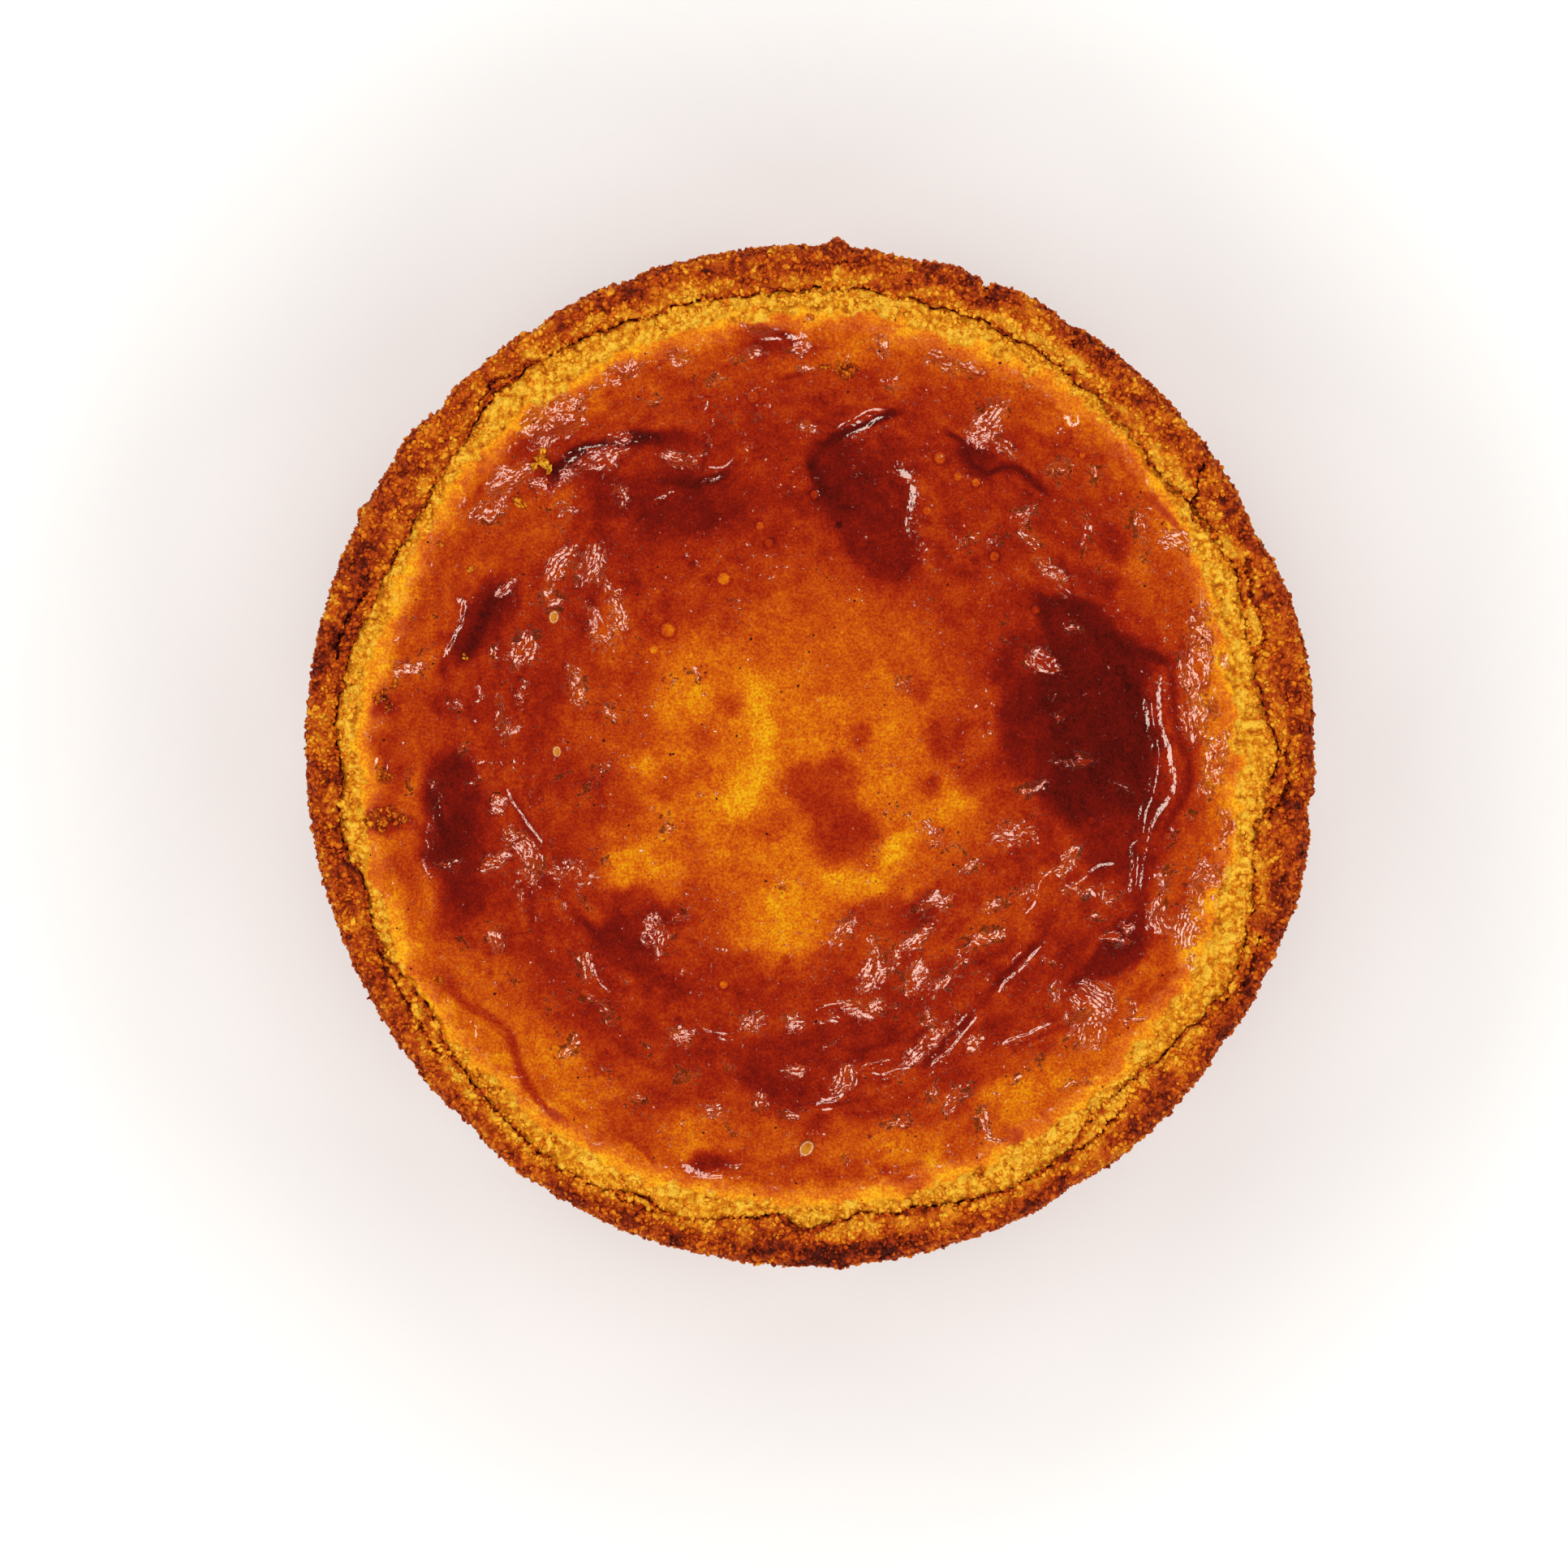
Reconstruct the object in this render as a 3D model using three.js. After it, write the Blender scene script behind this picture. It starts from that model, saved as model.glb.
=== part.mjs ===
// Parisian flan for one person, baked in a plain ring: a sandy shortcrust case and the custard
// set in it. The custard has shrunk from the case, so a thin jagged crack runs round between
// them. The edge of the custard is a crumbly band, and inside it the glossy skin sinks in pools
// with folds along their sides.
// Millimetres, +Z up. The origin is on the flat base, in the middle of the outline.

import * as THREE from 'three';

// Case
const flanRadius = 49.97;
const rimHeight = 38;
const baseThickness = 4;
const wallThickness = 4.3;
const baseTaper = 0.7; // how much narrower the foot is than the rim
const footRounding = 1.6;
const rimInnerDrop = 1.0; // the crack's edge lies this far under the rim's crest
const rimShoulder = 1.5; // rounding of the rim's outer edge
const cragHeight = 0.62;
const cragStep = 2.4; // distance between neighbouring crags
const sideRoughness = 0.22;

// Crack between case and custard
const crackDepth = 4.5; // below this the wall is smooth
const crackJag = 0.32;
const crackWidth = 0.5;
const crackWidthSpread = 0.16;
const closedGap = 0.3; // below the crack and under the custard

// Custard
const bandTop = 37.2;
const bandWidth = 2.9;
const skinEdge = 35.3; // skin where the band's slope ends
const skinMiddle = 35.7;
const skinRing = 34.7; // skin between the middle and the edge, where the pools lie
const skinRingRadius = 29;
const skinEdgeRadius = 40;
const undulation = 0.22;
const bandCrumb = 0.16;

// Mesh steps
const edgeSegments = 180;
const sideSegments = 120;
const wallSegments = 90;
const topStep = 1.52;
const middleStep = 2.3;
const middleRadius = 13;

// Baked outline: slow lobes as [waves a turn, size, angle of a crest]
const outlineLobes = [[1, 0.35, 229.5], [2, 0.37, 107.3], [3, 0.1, 14.8], [4, 0.09, 348.3]];

// Dents, nicks and crumbs of the outline as [angle, outward size, spread in degrees]
const outlineMarks = [
  [13, 0.35, 8], [26.5, -0.55, 3.6], [59, -0.42, 1.2], [65, 0.25, 2.4], [69.6, -0.8, 0.8],
  [74, 0.25, 2], [79, -0.35, 2.2], [87, 1.0, 1.1], [111, -0.3, 1.6], [122.6, -0.42, 1.2],
  [137.2, -0.42, 0.9], [142.5, 0.45, 3], [151.6, 0.5, 0.9], [226.5, -0.28, 1.6], [234.5, 0.28, 2],
  [273.3, 0.5, 1], [301, -0.36, 2.6], [324, -0.36, 2.4], [344, 0.3, 5], [353.6, -0.6, 1.5],
];

// Course of the crack as [angle, radius]
const crackCourse = [
  [0, 45.8], [12, 44.6], [26, 45.6], [39, 44.0], [50, 44.8], [62, 45.6], [88, 46.0], [100, 45.8],
  [115, 46.5], [129, 47.2], [140, 46.2], [153, 45.4], [164, 46.2], [176, 47.3], [184, 46.4],
  [190, 47.2], [197, 46.2], [203, 46.9], [213, 45.8], [229, 47.4], [241, 48.0], [249, 47.0],
  [255, 47.8], [265, 46.0], [270, 47.0], [276, 45.9], [298, 47.3], [312, 45.1], [333, 47.1],
  [347, 45.0],
];

// Places where the crack gapes as [angle, extra width, spread in degrees]
const crackGapes = [[23.5, 0.45, 2], [51, 0.35, 1.5], [190, 0.4, 2]];

// Sunken pools of the skin: middle, half length, half width, turn of the length and depth
const pools = [
  { x: -17.5, y: 27, long: 9.5, wide: 4.6, turn: -3, depth: 1.3 },
  { x: 5, y: 25, long: 8.5, wide: 5.4, turn: 108, depth: 1.3 },
  { x: 17.5, y: 29, long: 4.5, wide: 2.4, turn: 150, depth: 0.8 },
  { x: 28.5, y: -0.5, long: 15.5, wide: 8.6, turn: 106, depth: 1.8 },
  { x: 28.5, y: -19.5, long: 4.6, wide: 3.6, turn: 120, depth: 0.9 },
  { x: 0.5, y: -31.5, long: 9.5, wide: 4.4, turn: 4, depth: 1.3 },
  { x: -17, y: -18, long: 7.4, wide: 3.8, turn: -24, depth: 0.9 },
  { x: -34.8, y: -6.5, long: 7.5, wide: 3.6, turn: 80, depth: 1.3 },
  { x: -33, y: 12.5, long: 6.2, wide: 2.2, turn: 61, depth: 0.9 },
  { x: 11.5, y: -16, long: 4, wide: 2.8, turn: 20, depth: 0.4 },
  { x: -3, y: 39.6, long: 4, wide: 1.8, turn: 4, depth: 0.6 },
];

// Raised folds of the skin as height, half width and the points that they run through
const folds = [
  [0.6, 1.2, [25.5, 15.5], [29.5, 11], [35.5, 9], [37.2, 3], [38.4, -3], [36, -8.5], [34.2, -15]],
  [0.55, 1.3, [-28, 26], [-24.8, 30.6], [-20, 32], [-12, 31.8], [-10, 28.6]],
  [0.5, 1.0, [-14, 24.6], [-8.5, 27.2], [-6.6, 29.8]],
  [0.55, 1.2, [-0.4, 27], [0.2, 31], [4, 33.4], [9, 34.8]],
  [0.5, 1.1, [8, 28], [10.2, 25.6], [9.8, 22.4], [12.4, 17]],
  [0.45, 1.0, [14.6, 33], [16.6, 30], [21, 29.4], [24.4, 26]],
  [0.5, 1.1, [0, -36.6], [6, -34], [11, -31.4], [15, -27.6], [20, -22], [23, -18.6]],
  [0.4, 0.9, [11, -25], [16, -22.4], [20.6, -19], [23, -15]],
  [0.4, 0.9, [18, -29.6], [24, -27]],
  [0.45, 1.0, [-14.6, -28.6], [-9, -28], [-5, -25.4], [0, -25.6], [6, -24]],
  [0.4, 0.9, [-25, -13], [-22.6, -18.6], [-18, -22.4], [-12, -25.4]],
  [0.45, 0.9, [-30, -2.6], [-29, -5.2], [-26.4, -9.4]],
  [0.45, 0.9, [-28.8, -11.4], [-27.8, -17.4], [-31.4, -20]],
  [0.5, 1.0, [-40, 0.6], [-38.8, -5], [-37.4, -9.4], [-38, -13.6]],
  [0.4, 0.8, [-36, 17.4], [-37.4, 11], [-37.8, 7.6]],
  [0.45, 1.0, [-22.4, 21], [-19.6, 15], [-19.2, 10]],
  [0.35, 0.9, [-25.4, 20.4], [-24.4, 13]],
  [0.35, 0.9, [20, 24.4], [23, 20.6], [25.4, 14.6]],
];

const sideRandom = 5;
const rimRandom = 11;
const crackRandom = 17;
const skinRandom = 23;
const bandRandom = 31;

function radians(degrees) {
  return degrees * Math.PI / 180;
}

function mix(a, b, share) {
  return a + (b - a) * share;
}

function smoothStep(from, to, value) {
  const share = Math.min(Math.max((value - from) / (to - from), 0), 1);
  return share * share * (3 - 2 * share);
}

// Fixed random value from -1 to 1 for one lattice corner
function cornerValue(i, j, k, random) {
  let bits = Math.imul(i, 374761393) ^ Math.imul(j, 668265263) ^ Math.imul(k, 1274126177);
  bits = Math.imul(bits ^ Math.imul(random, 951274213), 1103515245);
  bits = Math.imul(bits ^ (bits >>> 15), 2246822519);
  return ((bits ^ (bits >>> 13)) >>> 0) / 2147483648 - 1;
}

// Smooth random value from -1 to 1 with one lattice step in every unit
function noise(x, y, z, random) {
  const i = Math.floor(x);
  const j = Math.floor(y);
  const k = Math.floor(z);
  const u = smoothStep(0, 1, x - i);
  const v = smoothStep(0, 1, y - j);
  const w = smoothStep(0, 1, z - k);
  const layer = (level) => mix(
    mix(cornerValue(i, j, level, random), cornerValue(i + 1, j, level, random), u),
    mix(cornerValue(i, j + 1, level, random), cornerValue(i + 1, j + 1, level, random), u),
    v,
  );
  return mix(layer(k), layer(k + 1), w);
}

// Signed difference of two angles, from -180 to 180 degrees
function turnFrom(angle, centre) {
  return ((angle - centre + 540) % 360) - 180;
}

function sumOfMarks(marks, angle) {
  let sum = 0;
  for (const [centre, size, spread] of marks) {
    sum += size * Math.exp(-((turnFrom(angle, centre) / spread) ** 2));
  }
  return sum;
}

function lobeRadius(angle) {
  let radius = flanRadius;
  for (const [waves, size, crest] of outlineLobes) {
    radius += size * Math.cos(waves * radians(angle - crest));
  }
  return radius;
}

// Value at an angle of a smooth closed curve through [angle, value] points
function courseAt(course, angle) {
  const count = course.length;
  let before = count - 1;
  while (before > 0 && course[before][0] > angle) {
    before -= 1;
  }
  const near = [-1, 0, 1, 2].map((shift) => {
    const index = (before + shift + count) % count;
    const turns = Math.floor((before + shift) / count) * 360;
    return [course[index][0] + turns, course[index][1]];
  });
  const [p0, p1, p2, p3] = near;
  const span = p2[0] - p1[0];
  const share = (angle - p1[0]) / span;
  const slope1 = (p2[1] - p0[1]) / (p2[0] - p0[0]) * span;
  const slope2 = (p3[1] - p1[1]) / (p3[0] - p1[0]) * span;
  const square = share * share;
  const cube = square * share;
  return (2 * cube - 3 * square + 1) * p1[1] + (cube - 2 * square + share) * slope1
    + (3 * square - 2 * cube) * p2[1] + (cube - square) * slope2;
}

// Middle line of the space between case and custard: jagged at the top, smooth lower down
function jointRadius(angle, height) {
  const x = Math.cos(radians(angle)) * 20;
  const y = Math.sin(radians(angle)) * 20;
  const jagged = courseAt(crackCourse, angle) + crackJag * noise(x, y, 0.5, crackRandom);
  const smooth = lobeRadius(angle) - wallThickness;
  return mix(smooth, jagged, smoothStep(bandTop - crackDepth, bandTop - 1, height));
}

function jointGap(angle, height) {
  const x = Math.cos(radians(angle)) * 12;
  const y = Math.sin(radians(angle)) * 12;
  const open = crackWidth + crackWidthSpread * noise(x, y, 9.5, crackRandom)
    + sumOfMarks(crackGapes, angle);
  return mix(closedGap, open, smoothStep(bandTop - crackDepth, bandTop - 1, height));
}

// Depth of one pool at a place: its outer side is steep and its inner side gentle
function poolDepth(pool, x, y) {
  const dx = x - pool.x;
  const dy = y - pool.y;
  const turn = radians(pool.turn);
  const along = (dx * Math.cos(turn) + dy * Math.sin(turn)) / pool.long;
  const across = (dy * Math.cos(turn) - dx * Math.sin(turn)) / pool.wide;
  const bearing = Math.atan2(across, along);
  const reach = Math.hypot(along, across) * (1 + 0.08 * Math.sin(3 * bearing + pool.x));
  const outward = (dx * pool.x + dy * pool.y) / (Math.hypot(dx, dy) * Math.hypot(pool.x, pool.y) + 0.001);
  const slope = mix(0.8, 0.26, smoothStep(-0.6, 0.8, outward));
  return pool.depth * (1 - smoothStep(1 - slope, 1.04, reach));
}

function distanceToLine(x, y, points) {
  let nearest = Infinity;
  for (let index = 1; index < points.length; index += 1) {
    const [ax, ay] = points[index - 1];
    const [bx, by] = points[index];
    const length = (bx - ax) ** 2 + (by - ay) ** 2;
    const share = Math.min(Math.max(((x - ax) * (bx - ax) + (y - ay) * (by - ay)) / length, 0), 1);
    nearest = Math.min(nearest, Math.hypot(x - mix(ax, bx, share), y - mix(ay, by, share)));
  }
  return nearest;
}

// Top of the custard: skin, pools, folds and the band at its edge
function custardTop(x, y, edgeDistance) {
  const radius = Math.hypot(x, y);
  const inner = mix(skinMiddle, skinRing, smoothStep(8, skinRingRadius, radius));
  let height = mix(inner, skinEdge, smoothStep(skinRingRadius, skinEdgeRadius, radius));
  height -= Math.max(...pools.map((pool) => poolDepth(pool, x, y)));
  for (const [size, halfWidth, ...points] of folds) {
    height += size * Math.exp(-((distanceToLine(x, y, points) / halfWidth) ** 2));
  }
  height += undulation * noise(x / 5, y / 5, 0.5, skinRandom);
  const band = 1 - smoothStep(bandWidth - 0.6, bandWidth + 1.5, edgeDistance);
  const crumb = bandCrumb * noise(x / 1.1, y / 1.1, 0.5, bandRandom);
  const edgeFall = 0.5 * (1 - smoothStep(0, 1, edgeDistance));
  return mix(height, bandTop + crumb - edgeFall, band);
}

function ring(count, place) {
  const points = [];
  for (let index = 0; index < count; index += 1) {
    const angle = index * 360 / count;
    const [radius, height] = place(angle);
    points.push([radius * Math.cos(radians(angle)), radius * Math.sin(radians(angle)), height]);
  }
  return points;
}

// Custard from the middle of its top, out over the edge and down to the middle of its base
function custardRings() {
  const foot = baseThickness + closedGap;
  const edge = (angle, height) => jointRadius(angle, height) - jointGap(angle, height) / 2;
  const rings = [];
  let radius = middleStep;
  const meanEdge = flanRadius - wallThickness;
  while (radius < meanEdge - topStep * 0.6) {
    const share = radius / meanEdge;
    const step = mix(middleStep, topStep, smoothStep(middleRadius * 0.5, middleRadius, radius));
    const place = (angle) => {
      const far = edge(angle, bandTop);
      const out = share * mix(meanEdge, far, share ** 4);
      const x = out * Math.cos(radians(angle));
      const y = out * Math.sin(radians(angle));
      return [out, custardTop(x, y, far - out)];
    };
    rings.push(ring(Math.min(edgeSegments, Math.round(2 * Math.PI * radius / step)), place));
    radius += step * 0.9;
  }
  rings.push(ring(edgeSegments, (angle) => {
    const out = edge(angle, bandTop);
    return [out, custardTop(out * Math.cos(radians(angle)), out * Math.sin(radians(angle)), 0)];
  }));
  for (const drop of [2.4, crackDepth]) {
    rings.push(ring(edgeSegments, (angle) => [edge(angle, bandTop - drop), bandTop - drop]));
  }
  rings.push(ring(wallSegments, (angle) => [edge(angle, foot) - 0.1, foot + 1.2]));
  rings.push(ring(wallSegments, (angle) => [edge(angle, foot) - 1.3, foot]));
  return { first: [0, 0, custardTop(0, 0, meanEdge)], rings, last: [0, 0, foot] };
}

// Top of the rim at a share of its width, 0 at the crack and 1 at the outline
function rimTop(share, angle) {
  const x = Math.cos(radians(angle)) * mix(44, 50, share);
  const y = Math.sin(radians(angle)) * mix(44, 50, share);
  const fine = noise(x / cragStep, y / cragStep, 0.5, rimRandom);
  const broad = noise(x / cragStep / 2.2, y / cragStep / 2.2, 3.5, rimRandom);
  const crag = fine + 0.7 * broad;
  const shoulder = 1 - Math.sqrt(1 - smoothStep(0.72, 1, share) ** 2);
  return rimHeight - rimInnerDrop * (1 - share) ** 2 - rimShoulder * shoulder
    + cragHeight * crag * (1 - 0.5 * share);
}

function caseSide(angle, height) {
  const foot = 1 - Math.sqrt(1 - (1 - Math.min(height / footRounding, 1)) ** 2);
  const x = Math.cos(radians(angle)) * 50;
  const y = Math.sin(radians(angle)) * 50;
  const fine = noise(x / cragStep, y / cragStep, height / cragStep, sideRandom);
  const broad = noise(x / cragStep / 3, y / cragStep / 3, height / cragStep / 3, sideRandom);
  const marks = sumOfMarks(outlineMarks, angle) * smoothStep(rimHeight - 16, rimHeight - 3, height);
  return lobeRadius(angle) + marks - baseTaper * (1 - height / rimHeight)
    - footRounding * foot + sideRoughness * (fine + broad);
}

// Case from the middle of its inner floor, up the wall, over the rim and down to the base
function caseRings() {
  const inside = (angle, height) => jointRadius(angle, height) + jointGap(angle, height) / 2;
  const rings = [
    ring(wallSegments, (angle) => [inside(angle, baseThickness) - 1.3, baseThickness]),
    ring(wallSegments, (angle) => [inside(angle, baseThickness), baseThickness + 1.2]),
  ];
  for (const drop of [crackDepth, 2.4]) {
    rings.push(ring(edgeSegments, (angle) => [inside(angle, bandTop - drop), bandTop - drop]));
  }
  for (const share of [0, 0.18, 0.38, 0.58, 0.76, 0.9]) {
    rings.push(ring(edgeSegments, (angle) => {
      const near = inside(angle, bandTop);
      const far = caseSide(angle, rimHeight);
      return [mix(near, far, share), rimTop(share, angle)];
    }));
  }
  for (const drop of [rimShoulder, 4, 7.5]) {
    rings.push(ring(edgeSegments, (angle) => [caseSide(angle, rimHeight - drop), rimHeight - drop]));
  }
  for (const height of [24, 17, 10, 4.5, footRounding, footRounding * 0.3]) {
    rings.push(ring(sideSegments, (angle) => [caseSide(angle, height), height]));
  }
  rings.push(ring(sideSegments, (angle) => [caseSide(angle, 0), 0]));
  return { first: [0, 0, baseThickness], rings, last: [0, 0, 0] };
}

// Closed skin over rings of points that may differ in count
function closedMesh({ first, rings, last }) {
  const positions = [...first];
  const starts = [];
  for (const points of rings) {
    starts.push(positions.length / 3);
    positions.push(...points.flat());
  }
  const lastIndex = positions.length / 3;
  positions.push(...last);
  const faces = [];
  rings[0].forEach((point, index) => {
    faces.push(0, starts[0] + index, starts[0] + (index + 1) % rings[0].length);
  });
  for (let row = 1; row < rings.length; row += 1) {
    const inner = rings[row - 1].length;
    const outer = rings[row].length;
    let i = 0;
    let j = 0;
    while (i < inner || j < outer) {
      const here = starts[row - 1] + i % inner;
      const there = starts[row] + j % outer;
      if (j < outer && (i === inner || (j + 0.5) / outer <= (i + 0.5) / inner)) {
        faces.push(here, there, starts[row] + (j + 1) % outer);
        j += 1;
      } else {
        faces.push(here, there, starts[row - 1] + (i + 1) % inner);
        i += 1;
      }
    }
  }
  const end = rings.length - 1;
  rings[end].forEach((point, index) => {
    faces.push(starts[end] + index, lastIndex, starts[end] + (index + 1) % rings[end].length);
  });
  const geometry = new THREE.BufferGeometry();
  geometry.setAttribute('position', new THREE.Float32BufferAttribute(positions, 3));
  geometry.setIndex(faces);
  geometry.computeVertexNormals();
  return geometry;
}

// Dry shortcrust, baked brown
function pastryMaterial() {
  return new THREE.MeshStandardMaterial({ color: 0xa8541a, roughness: 0.85, metalness: 0 });
}

// Baked custard under a glossy skin
function custardMaterial() {
  return new THREE.MeshStandardMaterial({ color: 0xd06a16, roughness: 0.3, metalness: 0 });
}

function piece(name, rings, material) {
  const mesh = new THREE.Mesh(closedMesh(rings), material);
  mesh.name = name;
  return mesh;
}

const flan = new THREE.Group();
flan.add(piece('crust', caseRings(), pastryMaterial()));
flan.add(piece('custard', custardRings(), custardMaterial()));

export default flan;
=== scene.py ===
import math
import bpy
import numpy as np
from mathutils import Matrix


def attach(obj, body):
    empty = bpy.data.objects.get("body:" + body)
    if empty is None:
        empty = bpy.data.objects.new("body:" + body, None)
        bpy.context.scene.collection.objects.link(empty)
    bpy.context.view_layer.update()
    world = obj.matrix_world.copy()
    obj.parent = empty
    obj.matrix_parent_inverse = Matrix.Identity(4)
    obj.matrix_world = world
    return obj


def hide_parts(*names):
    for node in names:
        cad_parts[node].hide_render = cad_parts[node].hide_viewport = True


# A parisian flan for one person, seen from straight above, built around the fixed CAD solids.
# Shapes are worked out in millimetres in the CAD's own frame and become metres in makeMesh.
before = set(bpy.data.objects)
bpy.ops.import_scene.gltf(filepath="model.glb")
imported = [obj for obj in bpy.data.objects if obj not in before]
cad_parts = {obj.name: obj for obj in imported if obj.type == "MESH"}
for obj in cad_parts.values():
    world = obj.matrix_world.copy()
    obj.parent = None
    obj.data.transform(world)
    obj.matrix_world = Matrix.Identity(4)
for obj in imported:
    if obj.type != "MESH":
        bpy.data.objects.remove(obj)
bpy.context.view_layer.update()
millimetre = 0.001
fullTurn = 6.283         # radians

# Sizes that the case and the custard share, the same ones as in the solids
flanForm = {
    "radius": 49.97,
    "rimHeight": 38.0,
    "baseThickness": 4.0,
    "wallThickness": 4.3,
    "bandTop": 37.2,
    "crackDepth": 4.5,
    "crackWidth": 0.26,
    "crackSpread": 0.3,
    "closedGap": 0.3,
    # slow lobes of the outline: waves a turn, size, angle of a crest
    "outlineLobes": [(1, 0.35, 229.5), (2, 0.37, 107.3), (3, 0.10, 14.8), (4, 0.09, 348.3)],
    # course of the crack: angle, radius
    "crackCourse": [
        (0, 45.8), (12, 44.6), (26, 45.6), (39, 44.0), (50, 44.8), (62, 45.6), (88, 46.0),
        (100, 45.8), (115, 46.5), (129, 47.2), (140, 46.2), (153, 45.4), (164, 46.2), (176, 47.3),
        (184, 46.4), (190, 47.2), (197, 46.2), (203, 46.9), (213, 45.8), (229, 47.4), (241, 48.0),
        (249, 47.0), (255, 47.8), (265, 46.0), (270, 47.0), (276, 45.9), (298, 47.3), (312, 45.1),
        (333, 47.1), (347, 45.0),
    ],
    # places where the crack gapes: angle, extra width, spread in degrees
    "crackGapes": [(23.5, 0.45, 2.0), (51, 0.35, 1.5), (190, 0.4, 2.0), (357, 0.2, 2.5), (176, 0.15, 2.0)],
}


def linear(hexColour):
    channels = [int(hexColour[i:i + 2], 16) / 255 for i in (1, 3, 5)]
    return tuple(c / 12.92 if c <= 0.04045 else ((c + 0.055) / 1.055) ** 2.4 for c in channels) + (1.0,)


def mix(a, b, share):
    return a + (b - a) * share


def smoothStep(low, high, value):
    share = np.clip((value - low) / (high - low), 0, 1)
    return share * share * (3 - 2 * share)


def softNoise(x, y, step, seed):
    # smooth random surface from -1 to 1 with one lattice corner in every step of millimetres
    side = 128
    table = np.random.default_rng(seed).uniform(-1, 1, (side, side))
    x, y = x / step + 900.5, y / step + 900.5
    i, j = np.floor(x).astype(int), np.floor(y).astype(int)
    u, v = smoothStep(0, 1, x - i), smoothStep(0, 1, y - j)
    i, j, right, up = i % side, j % side, (i + 1) % side, (j + 1) % side
    return mix(mix(table[i, j], table[right, j], u), mix(table[i, up], table[right, up], u), v)


def layeredNoise(x, y, step, seed, layers=3):
    total = sum(softNoise(x, y, step / 2 ** k, seed + k) / 2 ** k for k in range(layers))
    return total / 1.4


def turnFrom(angle, centre):
    return (angle - centre + 540) % 360 - 180


def marksAt(marks, angle):
    return sum(size * np.exp(-(turnFrom(angle, centre) / spread) ** 2) for centre, size, spread in marks)


def courseAt(course, angle):
    # smooth closed curve through (angle, value) points
    at = np.array([p[0] for p in course], float)
    value = np.array([p[1] for p in course], float)
    at = np.concatenate([at[-2:] - 360, at, at[:2] + 360])
    value = np.concatenate([value[-2:], value, value[:2]])
    slope = (value[2:] - value[:-2]) / (at[2:] - at[:-2])
    k = np.clip(np.searchsorted(at, angle % 360, side="right") - 1, 1, len(at) - 3)
    span = at[k + 1] - at[k]
    s = (angle % 360 - at[k]) / span
    return ((2 * s ** 3 - 3 * s ** 2 + 1) * value[k] + (s ** 3 - 2 * s ** 2 + s) * span * slope[k - 1]
            + (3 * s ** 2 - 2 * s ** 3) * value[k + 1] + (s ** 3 - s ** 2) * span * slope[k])


def curveThrough(points, value):
    # smooth open curve through (place, height) points
    at, height = np.array(points, float).T
    slope = np.gradient(height, at)
    k = np.clip(np.searchsorted(at, value, side="right") - 1, 0, len(at) - 2)
    span = at[k + 1] - at[k]
    s = np.clip((value - at[k]) / span, 0, 1)
    return ((2 * s ** 3 - 3 * s ** 2 + 1) * height[k] + (s ** 3 - 2 * s ** 2 + s) * span * slope[k]
            + (3 * s ** 2 - 2 * s ** 3) * height[k + 1] + (s ** 3 - s ** 2) * span * slope[k + 1])


def lobeRadius(angle):
    lobes = flanForm["outlineLobes"]
    return flanForm["radius"] + sum(size * np.cos(np.radians(waves * (angle - crest)))
                                    for waves, size, crest in lobes)


def aroundNoise(angle, step, seed):
    # noise along the rim, the same after a full turn
    radius = 47
    return softNoise(radius * np.cos(np.radians(angle)), radius * np.sin(np.radians(angle)), step, seed)


def openness(height):
    # 1 at the top of the crack, 0 where the wall is smooth
    return smoothStep(flanForm["bandTop"] - flanForm["crackDepth"], flanForm["bandTop"] - 1, height)


def jointRadius(angle, height):
    jag = 0.30 * aroundNoise(angle, 2.4, 3) + 0.24 * aroundNoise(angle, 1.0, 4)
    jag = jag + 0.14 * aroundNoise(angle, 0.5, 8)
    jagged = courseAt(flanForm["crackCourse"], angle) + jag
    return mix(lobeRadius(angle) - flanForm["wallThickness"], jagged, openness(height))


def jointGap(angle, height):
    width = flanForm["crackWidth"] + flanForm["crackSpread"] * aroundNoise(angle, 3.5, 5)
    width = np.maximum(width + 0.22 * aroundNoise(angle, 0.9, 6), 0.1)
    width = width + marksAt(flanForm["crackGapes"], angle)
    # the pastry closes up a little way down, so the crack shows brown and not black
    top = flanForm["bandTop"]
    width = width * mix(0.2, 1, smoothStep(top - 1.2, top - 0.3, height))
    return mix(flanForm["closedGap"], width, openness(height))


def joinRings(startA, countA, startB, countB):
    # faces between two closed rings of points, quads where their counts agree
    if countA == countB:
        i = np.arange(countA)
        j = (i + 1) % countA
        return np.stack([startA + i, startB + i, startB + j, startA + j], axis=1).tolist()
    faces, i, j = [], 0, 0
    while i < countA or j < countB:
        here, there = startA + i % countA, startB + j % countB
        if j < countB and (i == countA or (j + 0.5) * countA <= (i + 0.5) * countB):
            faces.append((here, there, startB + (j + 1) % countB))
            j += 1
        else:
            faces.append((here, there, startA + (i + 1) % countA))
            i += 1
    return faces


def shellFaces(counts):
    # faces of a closed shell: point 0, then the rings in order, then one last point
    starts = (1 + np.concatenate([[0], np.cumsum(counts)])).tolist()
    faces = [(0, starts[0] + i, starts[0] + (i + 1) % counts[0]) for i in range(counts[0])]
    for row in range(1, len(counts)):
        faces += joinRings(starts[row - 1], counts[row - 1], starts[row], counts[row])
    end, count = starts[len(counts) - 1], counts[-1]
    faces += [(end + i, starts[-1], end + (i + 1) % count) for i in range(count)]
    return faces


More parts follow.
